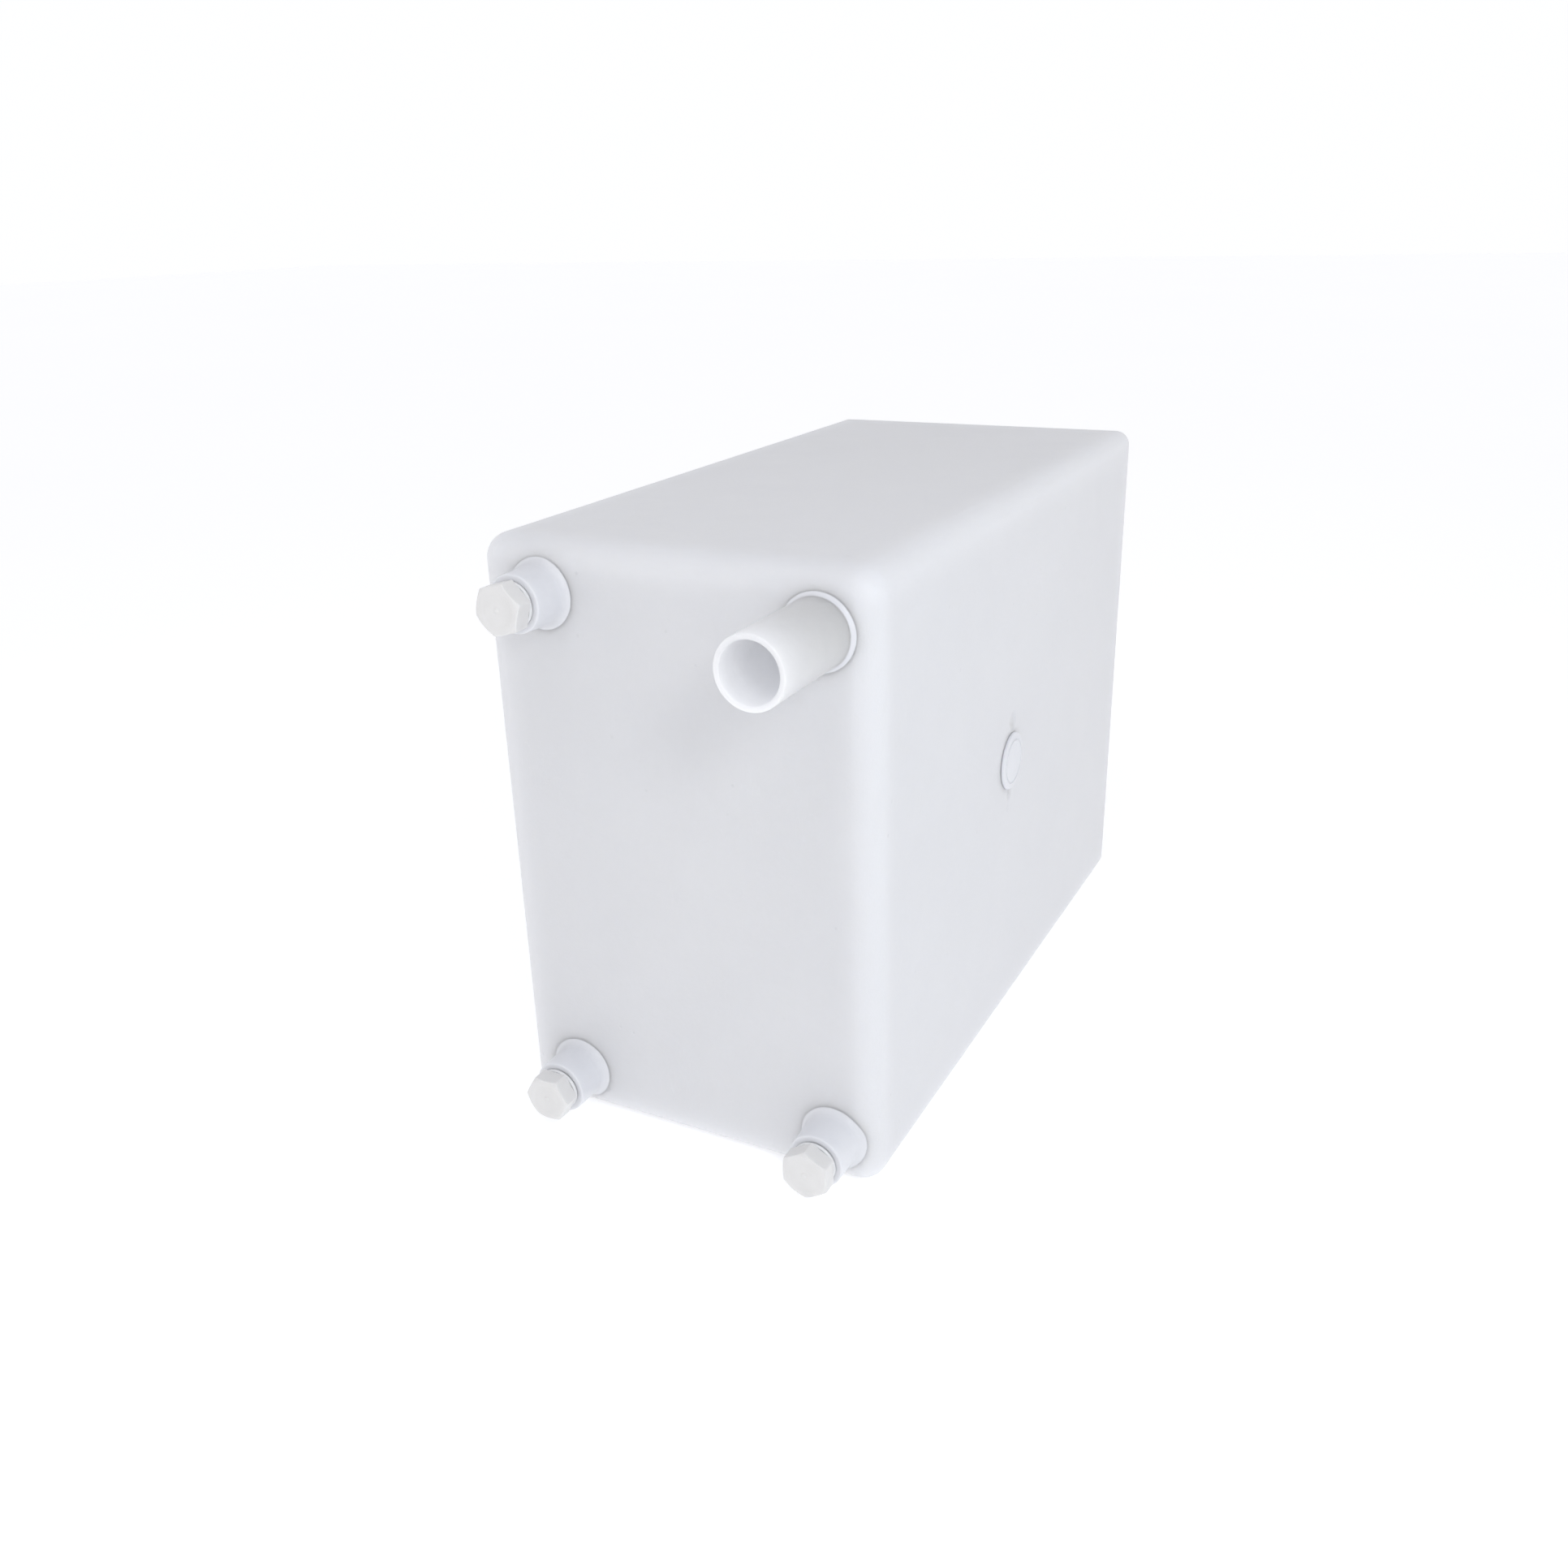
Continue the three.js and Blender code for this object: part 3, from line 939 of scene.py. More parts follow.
@dataclass(frozen=True)
class PipeThread:
    """Half-inch pipe thread, right-handed, 14 to the inch, tapered 1 in 16 on its diameter."""

    pitch: float = 25.4 / 14 * MM
    taper: float = 1 / 32
    root: float = 9.1 * MM
    depth: float = 1.15 * MM
    base: float = 1.1 * MM
    crest: float = 0.4 * MM

    def core(self, height: np.ndarray | float) -> np.ndarray | float:
        """Radius at the thread's root, at a height from the mouth."""
        return self.root + height * self.taper

    def radius(self, height: np.ndarray, angle: np.ndarray, gap: float = 0.0) -> np.ndarray:
        """Radius of the thread's surface.

        The core's radius, plus the thread's depth where the height is within half a crest of
        the helix, falling smoothly to nothing at half a base from it. A gap widens it all.

        Args:
            height: Height from the mouth.
            angle: Turn about the axis.
            gap: Room round the thread, for the hollow it runs in.

        Returns:
            The radius.
        """
        turns = height / self.pitch - angle / TURN
        away = np.abs(turns - np.round(turns)) * self.pitch
        share = (self.base / 2 + gap - away) / ((self.base - self.crest) / 2)
        return self.core(height) + gap + self.depth * smooth(share)

    def rows(self, low: float, high: float, angle: np.ndarray, gap: float = 0.0) -> np.ndarray:
        """Heights of grid rows that climb with the helix and are held between two levels.

        Args:
            low: Lowest level.
            high: Highest level.
            angle: The grid's angles, from its seam.
            gap: Room round the thread.

        Returns:
            Heights, angles by rows, from low to high. The last column's rows are the first
            column's one pitch on, so the seam closes.
        """
        base, crest = self.base / 2 + gap, self.crest / 2 + gap
        marks = np.linspace(crest, base, 4)
        one_turn = np.unique(np.round(np.concatenate([-marks, marks, [0.0]]), 9))
        start = math.floor(low / self.pitch) - 2
        stop = math.ceil(high / self.pitch) + 2
        rows = (one_turn[None, :] + np.arange(start, stop)[:, None] * self.pitch).ravel()
        climbed = rows[None, :] + self.pitch * angle[:, None] / TURN
        return np.clip(climbed, low, high)


THREAD = PipeThread()
THREAD_ROOM = 0.25 * MM


def full_turn(steps: int) -> np.ndarray:
    """Evenly spaced angles once round, the first and last in one place."""
    return np.linspace(0, TURN, steps + 1)


def turned(
    name: str,
    seat: Seat,
    angle: np.ndarray,
    strips: Sequence[tuple[np.ndarray, np.ndarray]],
    cling: np.ndarray | None = None,
    lift: float = 0.0,
    sharp: float = 38.0,
) -> bpy.types.Object:
    """Makes a piece by turning a profile about a seat's axis.

    Args:
        name: The piece's name.
        seat: Where it stands.
        angle: The angles round the axis.
        strips: The profile's radii and heights, strip by strip. Each is one row for all the
            angles, or a row for each.
        cling: Share of the surface's depth that each point of the profile follows, if any does.
        lift: Height of the profile's zero above the face.
        sharp: Angle in degrees past which an edge stays crisp.

    Returns:
        The piece's object.
    """
    radius, height = (
        np.concatenate(
            [np.broadcast_to(strip, (len(angle), strip.shape[-1])) for strip in given], axis=1
        )
        for given in zip(*strips)
    )
    follow = np.zeros(1) if cling is None else cling[None, :]
    skin = Skin()
    skin.add(seat.place(radius, height + lift, angle[:, None], follow))
    return skin.piece(name, sharp)


def spigot_end(inner: float, outer: float, wall: float) -> np.ndarray:
    """The rounded end of a pipe inside the box, from its bore to its outside."""
    size = 0.5 * MM
    level = size - wall
    bore_side = arc((inner + size, level), size, 180, 270, 4)
    return np.concatenate([bore_side, arc((outer - size, level), size, 270, 360, 4)])


@dataclass(frozen=True)
class WeldedFoot:
    """The flared foot of a fitting, which runs out over the box's surface and melts into it.

    Attributes:
        barrel: Radius of the fitting above the foot.
        reach: How far the foot stands out.
        height: Height of its curve.
        sink: How deep the weld takes its thin toe into the box.
    """

    barrel: float
    reach: float
    height: float
    sink: float = 0.1 * MM

    def profile(self, spigot: float) -> tuple[np.ndarray, np.ndarray]:
        """Radius and height from the spigot out under the foot, round the toe and up its curve.

        The curve is a quarter of an ellipse, hollow, from the toe to the barrel.

        Args:
            spigot: Radius where the foot's underside starts.

        Returns:
            The profile, and the share of the surface's depth that each of its points follows.
        """
        toe = self.barrel + self.reach
        turn = np.radians(np.linspace(0, 90, 14))
        curve = np.stack(
            [
                self.barrel + self.reach * (1 - np.sin(turn)),
                self.height * (1 - np.cos(turn)) - self.sink,
            ],
            axis=-1,
        )
        under = run((spigot, -2 * self.sink), (toe, -2 * self.sink), 5)
        line = np.concatenate([under, curve])
        cling = smooth(1 - line[:, 1] / self.height)
        return line, cling


@dataclass
class Coupling:
    """A threaded coupling welded into the front."""

    name: str
    seat: Seat
    length: float = MOUTH
    barrel: float = BARREL_RADIUS
    bore: float = 8.109 * MM
    spigot: float = SPIGOT_RADIUS
    wall: float = WALL
    foot: Point = (3.5 * MM, 6 * MM)
    thread_depth: float = 12.5 * MM
    chamfer: float = 0.8 * MM
    rounding: float = 0.8 * MM
    draft: float = 0.25 * MM
    lip_room: float = 0.15 * MM
    unevenness: float = 0.12 * MM
    steps: int = 96
    seed: int = 1

    def build(self) -> bpy.types.Object:
        """Builds the coupling: foot, barrel, mouth, inner thread, bore and spigot.

        Returns:
            The coupling's object.
        """
        angle = full_turn(self.steps)
        foot, cling = WeldedFoot(self.barrel, *self.foot).profile(self.spigot)
        outward = smooth((foot[:, 0] - 15 * MM) / (3 * MM))
        bead = self.unevenness * ripple(angle, self.seed)[:, None] * outward
        top, turned_off = self.length, self.rounding
        outer = self.barrel - self.draft
        lip = THREAD.core(0) + THREAD_ROOM + THREAD.depth
        upper = np.concatenate(
            [
                run((self.barrel, self.foot[1] + 0.9 * MM), (outer, top - turned_off), 5),
                arc((outer - turned_off, top - turned_off), turned_off, 0, 90, 5)[1:],
                run((outer - turned_off, top), (lip + self.lip_room, top), 2)[1:],
            ]
        )
        rows = THREAD.rows(-self.thread_depth, 0.0, angle, THREAD_ROOM)[:, ::-1]
        cut = THREAD.radius(rows, angle[:, None], THREAD_ROOM)
        sink = (rows + self.chamfer) / self.chamfer
        start = THREAD.core(-self.chamfer) + THREAD_ROOM
        cut = np.maximum(cut, np.where(sink > 0, start + (lip - start) * sink, 0.0))
        bore = run((self.bore, top - self.thread_depth), (self.bore, 0.6 * MM - self.wall), 4)
        lower = np.concatenate([bore, spigot_end(self.bore, self.spigot, self.wall)])
        strips = [
            (foot[:, 0] + bead, foot[:, 1]),
            (upper[:, 0], upper[:, 1]),
            (cut, rows + top),
            (lower[:, 0], lower[:, 1]),
            (foot[:1, 0] + bead[:, :1], foot[:1, 1]),
        ]
        between = np.zeros(len(upper) + rows.shape[1] + len(lower))
        follow = np.concatenate([cling, between, cling[:1]])
        return turned(f"{self.name}_threaded_coupling", self.seat, angle, strips, follow)


@dataclass
class FillSpout:
    """The open tube that a fill hose is pushed over."""

    seat: Seat
    outer: float = SPOUT_RADIUS
    wall: float = 2.6 * MM
    length: float = 60 * MM
    box_wall: float = WALL
    foot: Point = (2.4 * MM, 3.5 * MM)
    unevenness: float = 0.1 * MM
    steps: int = 128
    seed: int = 11

    def build(self) -> bpy.types.Object:
        """Builds the tube with its welded foot, rounded rim, bore and spigot.

        Returns:
            The spout's object.
        """
        angle = full_turn(self.steps)
        foot, cling = WeldedFoot(self.outer, *self.foot).profile(self.outer)
        bore = self.outer - self.wall
        rim = self.wall / 4
        rest = np.concatenate(
            [
                run((self.outer, 4.6 * MM), (self.outer, self.length - rim), 14),
                arc((self.outer - rim, self.length - rim), rim, 0, 90, 5)[1:],
                arc((bore + rim, self.length - rim), rim, 90, 180, 5),
                run((bore, self.length - rim), (bore, 0.6 * MM - self.box_wall), 14)[1:],
                spigot_end(bore, self.outer, self.box_wall),
            ]
        )
        line = np.concatenate([foot, rest, foot[:1]])
        follow = np.concatenate([cling, np.zeros(len(rest)), cling[:1]])
        outward = smooth((line[:, 0] - 16.6 * MM) / (1.2 * MM))
        bead = self.unevenness * ripple(angle, self.seed)[:, None] * outward[None, :]
        strips = [(line[:, 0] + bead, line[:, 1])]
        return turned("fill_spout_tube", self.seat, angle, strips, follow)


# A plug's face, from its middle out: a gate mark in a dimple, and a shallow dish with a rim.
FACE_OUT = np.array([0.0, 0.5, 0.9, 1.05, 1.5, 2.3, 3.0, 5.0, 7.2, 7.9, 8.4, 9.2]) * MM
FACE_SINK = np.array([0.15, 0.15, 0.18, 0.4, 0.55, 0.5, 0.35, 0.35, 0.33, 0.2, 0.05, 0.0]) * MM
# Rows down its sides, from the face: close together over the chamfer, then down the hex.
SIDE_FALL = (
    np.array([0.0, 0.03, 0.1, 0.25, 0.4, 0.55, 0.7, 0.85, 1.0, 1.2, 2.5, 4.5, 6.5, 8.0, 8.75]) * MM
)
CONE_SETBACK = 0.25 * MM
CONE_ROUNDING = 0.2 * MM
CONE_SLOPE = 1.732  # a chamfer of 30 degrees to the face
# Its underside: how far in from the hex two rows lie, and how far each row stands above it.
UNDER_INSET = (0.08 * MM, 0.3 * MM)
UNDER_RISE = np.array([0.07, 0.0, 0.0]) * MM
NECK_RADIUS = 10.9 * MM


@dataclass
class HexPlug:
    """A hex-head pipe plug, hollow from its tip, in the frame of its coupling's mouth."""

    name: str
    seat: Seat
    head_turn: float
    mouth: float = MOUTH
    across_flats: float = HEX_ACROSS_FLATS
    exposed: float = 3 * MM
    engaged: float = 10 * MM
    head: float = 9 * MM
    corner: float = 0.7 * MM
    core: float = 6.2 * MM
    face: float = 6 * MM

    def angles(self) -> np.ndarray:
        """Angles once round from one corner of the hex, closer together near each corner."""
        within = 0.5 - 0.5 * np.cos(np.linspace(0, math.pi, 17)[:-1])
        sectors = (np.arange(6)[:, None] + within[None, :]).ravel()
        return math.radians(self.head_turn) + np.append(sectors, 6.0) * TURN / 6

    def hexagon(self, angle: np.ndarray) -> np.ndarray:
        """Radius of the hexagon with its corners rounded.

        Half the width across flats over the cosine of the angle from the flat's middle, and
        near a corner the far side of a small circle that touches both flats.

        Args:
            angle: Angle from a corner of the hex.

        Returns:
            The radius.
        """
        half = self.across_flats / 2
        off = np.mod(angle, TURN / 6) - TURN / 12
        flat = half / np.cos(off)
        centre = (half - self.corner) / math.cos(TURN / 12)
        swing = TURN / 12 - np.abs(off)
        inside = np.maximum(self.corner**2 - (centre * np.sin(swing)) ** 2, 0)
        rounded = centre * np.cos(swing) + np.sqrt(inside)
        in_corner = half * np.tan(np.abs(off)) > (half - self.corner) * math.tan(TURN / 12)
        return np.where(in_corner, rounded, flat)

    def build(self) -> bpy.types.Object:
        """Builds the plug: dished face, chamfered hex, thread, tip and hollow core.

        Returns:
            The plug's object.
        """
        angle = self.angles()
        top = self.exposed + self.head
        hexed = self.hexagon(angle - math.radians(self.head_turn))[:, None]
        # The cone of the chamfer leaves the face at its rim and cuts the hex's corners.
        rim = self.across_flats / 2 - (CONE_SETBACK + CONE_ROUNDING)
        start = np.sqrt(np.clip(SIDE_FALL / (CONE_ROUNDING / 2), 0, 1))
        cone = rim + CONE_ROUNDING * start + CONE_SLOPE * SIDE_FALL
        side = np.minimum(hexed, cone[None, :])
        under = np.concatenate([hexed - inset for inset in UNDER_INSET], axis=1)
        under = np.concatenate([under, hexed * 0 + NECK_RADIUS], axis=1)
        # The thread, from the head down to the tip.
        rows = THREAD.rows(-self.engaged, self.exposed, angle - angle[0])[:, ::-1]
        thread = THREAD.radius(rows, angle[:, None])
        tip_share = np.clip((rows + self.engaged) / (2 * THREAD.depth), 0, 1)
        start = THREAD.core(-self.engaged)
        limit = start + (THREAD.core(self.exposed) + THREAD.depth - start) * tip_share
        # The hollow, from the tip's rim up to its round end.
        depth, end, lip = top - self.face, 1.2 * MM, 0.4 * MM
        inner = np.concatenate(
            [
                run((self.core + end, -self.engaged), (self.core + lip, -self.engaged), 1),
                arc((self.core + lip, lip - self.engaged), lip, 270, 180, 4)[1:],
                run((self.core, 0.5 * MM - self.engaged), (self.core, depth - end), 4),
                arc((self.core - end, depth - end), end, 0, 90, 5)[1:],
                run((self.core - end, depth), (0.0, depth), 3)[1:],
            ]
        )
        strips = [
            (FACE_OUT, top - FACE_SINK),
            (side, top - SIDE_FALL),
            (under, top - (self.head - UNDER_RISE)),
            (np.minimum(thread, limit), rows),
            (inner[:, 0], inner[:, 1]),
        ]
        name = f"{self.name}_hex_head_plug"
        return turned(name, self.seat, angle, strips, lift=self.mouth, sharp=30.0)


@dataclass
class TapeWrap:
    """A few turns of thread tape, bunched between the coupling's mouth and the hex."""

    name: str
    seat: Seat
    seed: int
    mouth: float = MOUTH
    inner: float = 10.6 * MM
    thickness: float = 0.49 * MM
    width: float = 2.15 * MM
    middle: float = 1.5 * MM
    turns: float = 4.0

    def build(self) -> bpy.types.Object:
        """Builds the wrap.

        Its section is a flattened ring: an oblong whose outer side rises in one ridge for each
        layer, drifting along the wrap by one ridge a turn, and whose edges wander.

        Returns:
            The wrap's object.
        """
        angle = full_turn(144)[:, None]
        round_section = np.linspace(0, TURN, 41)[None, :]
        across, through = np.cos(round_section), np.sin(round_section)
        square = (np.abs(across) ** 8 + np.abs(through) ** 8) ** (-1 / 8)
        edge = 1 - 0.06 * (1 + ripple(angle[:, 0], self.seed)[:, None])
        height = self.width / 2 * across * square * edge
        ridges = 0.5 + 0.5 * np.cos(TURN * (self.turns * height / self.width - angle / TURN))
        pull = 0.5 + 0.5 * ripple(angle[:, 0], self.seed + 1, 14)[:, None]
        outside = self.thickness * (0.62 + 0.26 * ridges + 0.12 * pull)
        rise = np.where(through > 0, outside, 0.0) * np.clip(through * square, 0, 1)
        strips = [(self.inner + rise, height)]
        lift = self.mouth + self.middle
        name = f"{self.name}_wound_tape"
        return turned(name, self.seat, angle[:, 0], strips, lift=lift, sharp=60.0)


@dataclass
class BreatherDisc:
    """The welded disc that closes the breather's hole, with its stem in the wall."""

    seat: Seat
    radius: float = 16 * MM
    height: float = 2 * MM
    stem: float = DISC_STEM_RADIUS
    wall: float = WALL
    groove: Point = (12.2 * MM, 0.6 * MM)
    rim: float = 1.0 * MM
    rounding: float = 0.5 * MM
    weld_gap: float = 0.12 * MM
    unevenness: float = 0.1 * MM
    steps: int = 96
    seed: int = 23

    def build(self) -> bpy.types.Object:
        """Builds the disc: a low dome with a shallow ring groove, a round rim and a stem.

        Returns:
            The disc's object.
        """
        angle = full_turn(self.steps)
        top, edge, rim = self.height, self.radius, self.rim
        groove, groove_size = self.groove
        small, end = self.stem - self.rounding, self.rounding - self.wall
        line = np.concatenate(
            [
                run((0.0, top - 0.05 * MM), (3.0 * MM, top - 0.05 * MM), 2),
                run((8.0 * MM, top - 0.12 * MM), (11.4 * MM, top - 0.2 * MM), 2),
                arc((groove, top - 0.15 * MM), groove_size, 180, 360, 8),
                run((13.2 * MM, top - 0.25 * MM), (edge - 1.5 * MM, top - 0.45 * MM), 2),
                arc((edge - rim, top - 1.4 * MM), rim, 80, -20, 8),
                run((edge - 0.2 * MM, self.weld_gap), (self.stem, self.weld_gap), 4),
                run((self.stem, 0.0), (self.stem, end), 2),
                arc((small, end), self.rounding, 0, -90, 4)[1:],
                run((small, -self.wall), (0.0, -self.wall), 2)[1:],
            ]
        )
        outward = smooth((line[:, 0] - 14.4 * MM) / (1.4 * MM))
        bead = self.unevenness * ripple(angle, self.seed)[:, None] * outward[None, :]
        strips = [(line[:, 0] + bead, line[:, 1])]
        return turned("breather_hole_disc", self.seat, angle, strips, np.ones(len(line)))


# The whole tank.


@dataclass(frozen=True)
class Port:
    """One threaded port of the front: where its axis is, and how its plug's head came tight."""

    name: str
    x: float
    z: float
    head_turn: float
    window: Window


# First seeds of the couplings' weld beads and of the tapes, which take two each.
COUPLING_SEED = 31
TAPE_SEED = 51


@dataclass
class WaterTank:
    """Builds every piece, dresses it, and says what it rides on and stands for."""

    shell: TankShell
    ports: tuple[Port, ...]
    spout_at: Point
    disc_at: Point

    def front_seat(self, x: float, z: float) -> Seat:
        """A seat on the front, whose surface may round away under the fitting."""
        return Seat(
            origin=Vector((x, self.shell.low.y, z)),
            across=Vector((-1, 0, 0)),
            outward=Vector((0, -1, 0)),
            sunk=lambda side, up: self.shell.sunk_front(x - side, z + up),
        )

    def right_seat(self, y: float, z: float) -> Seat:
        """A seat on the right side."""
        return Seat(
            origin=Vector((self.shell.high.x, y, z)),
            across=Vector((0, -1, 0)),
            outward=Vector((1, 0, 0)),
            sunk=lambda side, up: self.shell.sunk_right(y - side, z + up),
        )

    def dress(
        self,
        piece: bpy.types.Object,
        materials: tuple[bpy.types.Material, ...],
        body: str,
        node: str,
    ) -> None:
        """Gives a piece its materials and body, and hides the plain node that it stands for."""
        for material in materials:
            piece.data.materials.append(material)
        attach(piece, body)
        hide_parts(node)
        log.info("%s rides on %s and replaces %s", piece.name, body, node)

    def build(self) -> None:
        """Builds the shell first, then what is welded to it, then the plugs and their tape."""
        box, fitting, spout_plastic, weld, disc_plastic, plug = (
            finish.material()
            for finish in (
                BOX_POLYETHYLENE,
                FITTING_POLYETHYLENE,
                SPOUT_POLYETHYLENE,
                WELD_POLYETHYLENE,
                DISC_POLYETHYLENE,
                PLUG_PLASTIC,
            )
        )
        tape = Tape().material()
        self.dress(self.shell.build(), (box,), TANK_BODY, "tank_shell")
        seat = self.front_seat(*self.spout_at)
        spout = FillSpout(seat).build()
        second_finish(spout, seat.origin, SPOUT_RADIUS + 0.325 * MM, 5 * MM)
        self.dress(spout, (spout_plastic, weld), TANK_BODY, "fill_spout")
        disc = BreatherDisc(self.right_seat(*self.disc_at)).build()
        self.dress(disc, (disc_plastic,), TANK_BODY, "breather_disc")
        for number, port in enumerate(self.ports):
            name, seat = port.name, self.front_seat(port.x, port.z)
            coupling = Coupling(name, seat, seed=COUPLING_SEED + number).build()
            second_finish(coupling, seat.origin, BARREL_RADIUS + 0.5 * MM, 6 * MM)
            self.dress(coupling, (fitting, weld), TANK_BODY, f"{name}_coupling")
            wrap = TapeWrap(name, seat, seed=TAPE_SEED + 2 * number).build()
            self.dress(wrap, (tape,), f"{name}_seal", f"{name}_plug_tape")
            head = HexPlug(name, seat, port.head_turn).build()
            self.dress(head, (plug,), f"{name}_plug", f"{name}_plug")


# The studio.


@dataclass(frozen=True)
class SoftBox:
    """A large square lamp that looks at a point."""

    name: str
    place: Colour
    aim: Colour
    size: float
    power: float
    colour: Colour

    def build(self) -> None:
        """Adds the lamp."""
        lamp = bpy.data.lights.new(self.name, "AREA")
        lamp.size = self.size
        lamp.energy = self.power
        lamp.color = self.colour
        made = bpy.data.objects.new(self.name, lamp)
        way = Vector(self.aim) - Vector(self.place)
        made.location = self.place
        made.rotation_euler = way.to_track_quat("-Z", "Y").to_euler()
        bpy.context.scene.collection.objects.link(made)


LAMPS = (
    SoftBox(
        name="front_softbox",
        place=(0.68, -0.78, 0.78),
        aim=(0.08, -0.15, 0.2),
        size=0.22,
        power=1.75,
        colour=(0.95, 0.97, 1.0),
    ),
    SoftBox(
        name="right_softbox",
        place=(0.62, -0.38, 0.4),
        aim=(0.1, -0.18, 0.18),
        size=0.3,
        power=0.22,
        colour=(0.55, 0.78, 1.0),
    ),
    SoftBox(
        name="top_softbox",
        place=(0.0, -0.6, 1.15),
        aim=(0.0, -0.15, 0.3),
        size=0.6,
        power=1.35,
        colour=(0.97, 0.97, 1.0),
    ),
)


@dataclass
class Studio:
    """A pale floor under soft light, and the camera.

    Attributes:
        camera_at: The camera's place.
        heading: Which way it looks, in degrees from +Y towards +X.
        pitch: How far it looks up, in degrees.
        roll: How far it is turned about its axis, in degrees.
        focal_length: Focal length in millimetres on a sensor 36 mm wide.
    """

    camera_at: Colour = (0.3223, -0.7076, 0.4392)
    heading: float = -27.74
    pitch: float = -22.25
    roll: float = -1.56
    focal_length: float = 32.14
    horizon: Colour = (0.997, 0.999, 1.01)
    zenith: Colour = (0.56, 0.566, 0.605)

    def build(self) -> None:
        """Sets the view's transform, then adds the sky, the lamps, the floor and the camera."""
        scene = bpy.context.scene
        scene.view_settings.view_transform = "Standard"
        scene.view_settings.look = "None"
        self._sky(scene)
        for lamp in LAMPS:
            lamp.build()
        self._floor(scene)
        self._camera(scene)

    def _sky(self, scene: bpy.types.Scene) -> None:
        """Adds a pale sky that dims smoothly from near the horizon to straight above."""
        world = bpy.data.worlds.new("studio_sky")
        graph = ShaderGraph(world)
        rise = graph.parts(graph.node("ShaderNodeTexCoord", {}, {}, "Generated"))[2]
        colour = graph.blend(rise.over(0.14, 1.0), self.horizon, self.zenith)
        background = graph.node("ShaderNodeBackground", {}, {"Color": colour, "Strength": 1.0})
        end = graph.tree.nodes.new("ShaderNodeOutputWorld")
        graph.tree.links.new(background.socket, end.inputs["Surface"])
        scene.world = world

    def _floor(self, scene: bpy.types.Scene) -> None:
        """Adds the floor, 24 m square, in a pale matt finish with a faint drift of tone."""
        size = 12.0
        points = [(-size, -size, 0), (size, -size, 0), (size, size, 0), (-size, size, 0)]
        mesh = bpy.data.meshes.new("studio_floor")
        mesh.from_pydata(points, [], [(0, 1, 2, 3)])
        floor = bpy.data.objects.new("studio_floor", mesh)
        graph = ShaderGraph.of_material("studio_floor_white")
        drift = graph.cloud(graph.coordinates(), 0.9, 2.0)
        mesh.materials.append(
            graph.finish(
                {
                    "Base Color": graph.blend(drift, (0.86, 0.86, 0.865), (0.88, 0.88, 0.885)),
                    "Roughness": 0.9,
                    "Emission Color": (1.0, 1.0, 1.0, 1.0),
                    "Emission Strength": 0.34,
                }
            )
        )
        scene.collection.objects.link(floor)

    def _camera(self, scene: bpy.types.Scene) -> None:
        """Adds the camera, from its heading, pitch and roll."""
        heading, pitch, roll = (math.radians(a) for a in (self.heading, self.pitch, self.roll))
        flat = math.cos(pitch)
        ahead = Vector((math.sin(heading) * flat, math.cos(heading) * flat, math.sin(pitch)))
        level = ahead.cross(Vector((0, 0, 1))).normalized()
        above = level.cross(ahead)
        right = level * math.cos(roll) + above * math.sin(roll)
        upward = right.cross(ahead)
        data = bpy.data.cameras.new("camera")
        data.sensor_width = 36
        data.lens = self.focal_length
        data.clip_end = 60
        data.dof.use_dof = False
        camera = bpy.data.objects.new("camera", data)
        turn = Matrix((right, upward, -ahead)).transposed()
        camera.matrix_world = Matrix.Translation(self.camera_at) @ turn.to_4x4()
        scene.collection.objects.link(camera)
        scene.camera = camera


# Windows of the front's grid, as parameters: the third line round an edge is half its bend.
EDGE_LINE = 1.5
FLAT_X = 89.1 * MM
FLAT_Z = 139.9 * MM
MIDDLE_Z = 152.4 * MM


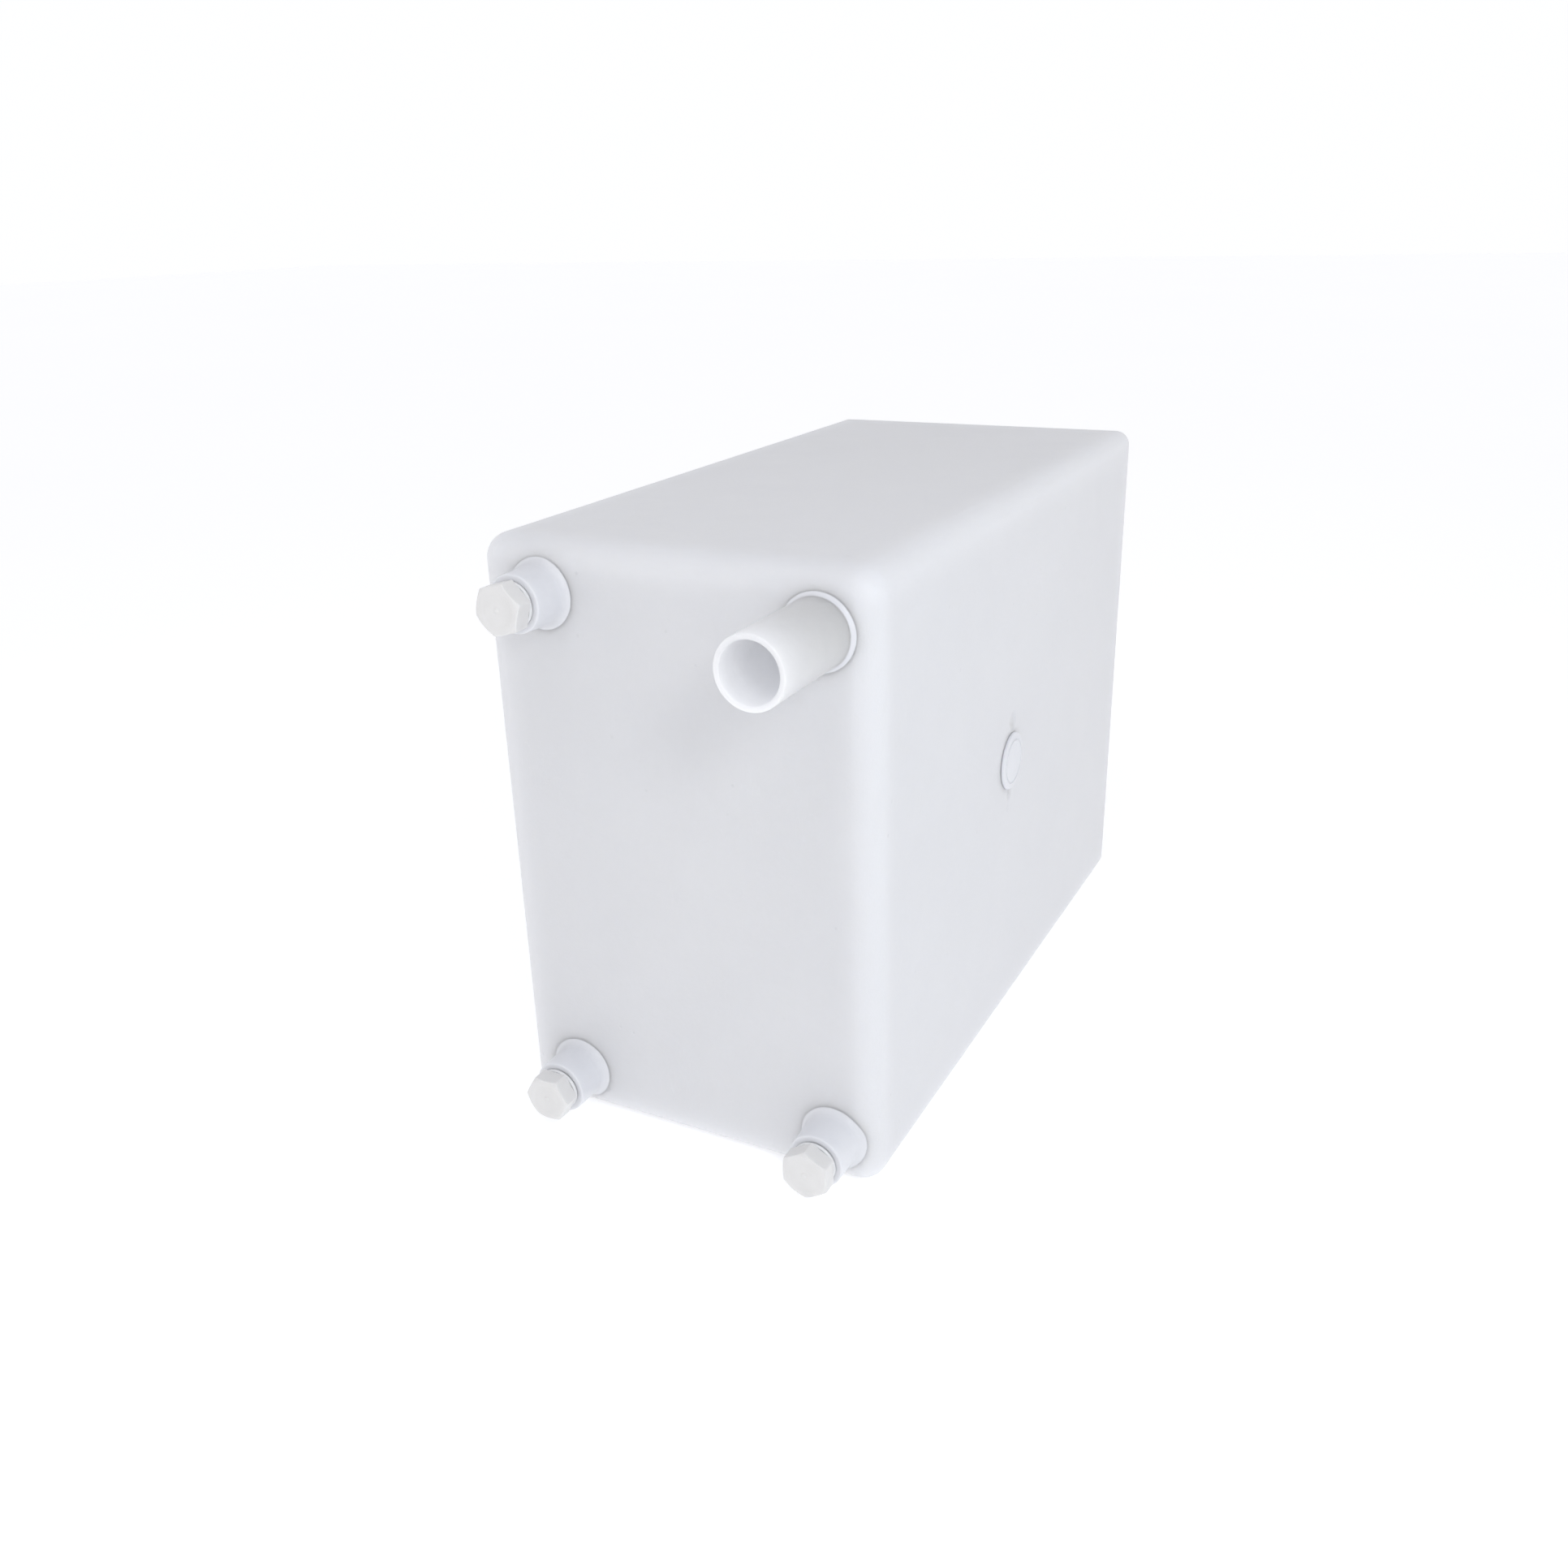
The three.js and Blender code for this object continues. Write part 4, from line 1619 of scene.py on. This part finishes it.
def window(left: float, right: float, low: float, high: float) -> Window:
    """Grid parameters of a window on the front, from metres, or infinite for half an edge."""
    across = [EDGE_LINE if math.isinf(x) else x / FLAT_X for x in (left, right)]
    up = [
        math.copysign(EDGE_LINE, z) if math.isinf(z) else (z - MIDDLE_Z) / FLAT_Z
        for z in (low, high)
    ]
    return (*across, *up)


EDGE = math.inf
PORTS = (
    Port("vent", -66.6 * MM, 279.8 * MM, 15.0, window(-82 * MM, -52 * MM, 264 * MM, EDGE)),
    Port("drain", -67.6 * MM, 24 * MM, 0.0, window(-82 * MM, -52 * MM, -EDGE, 40.4 * MM)),
    Port("outlet", 78.6 * MM, 25 * MM, 30.0, window(64 * MM, EDGE, -EDGE, 40.4 * MM)),
)
SPOUT_AT = (74.6 * MM, 276.8 * MM)
SPOUT_WINDOW = window(54 * MM, EDGE, 257.4 * MM, EDGE)
DISC_AT = (-20 * MM, 158.4 * MM)
DISC_WINDOW = 9 * MM  # from the disc's axis to each edge of its window
DIMPLES = (
    Dimple(-19 * MM, 181.4 * MM, 4.6 * MM, 0.9 * MM),
    Dimple(-20.5 * MM, 138.9 * MM, 3.0 * MM, 1.0 * MM),
    Dimple(-23 * MM, 131.6 * MM, 1.9 * MM, 0.6 * MM),
)


def main() -> None:
    """Builds the studio and the tank."""
    logging.basicConfig(level=logging.INFO, format="%(name)s: %(message)s")
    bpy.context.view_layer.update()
    Studio().build()
    low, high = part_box("tank_shell")
    shell = TankShell(low, high, dimples=DIMPLES)
    holes = [(SPOUT_AT, SPOUT_RADIUS, SPOUT_WINDOW)]
    holes += [((port.x, port.z), SPIGOT_RADIUS, port.window) for port in PORTS]
    for centre, radius, edges in holes:
        shell.openings.append(Opening(Side.FRONT, centre, radius + WELD_CLEARANCE, edges))
    one, two = (float(v) for v in shell.flat_parameters(*(np.array(v) for v in DISC_AT)))
    across, up = (DISC_WINDOW / shell.flat[axis] for axis in (1, 2))
    edges = (one - across, one + across, two - up, two + up)
    stem_hole = DISC_STEM_RADIUS + WELD_CLEARANCE
    shell.openings.append(Opening(Side.RIGHT, DISC_AT, stem_hole, edges))
    WaterTank(shell, PORTS, SPOUT_AT, DISC_AT).build()


if __name__ == "__main__":
    main()
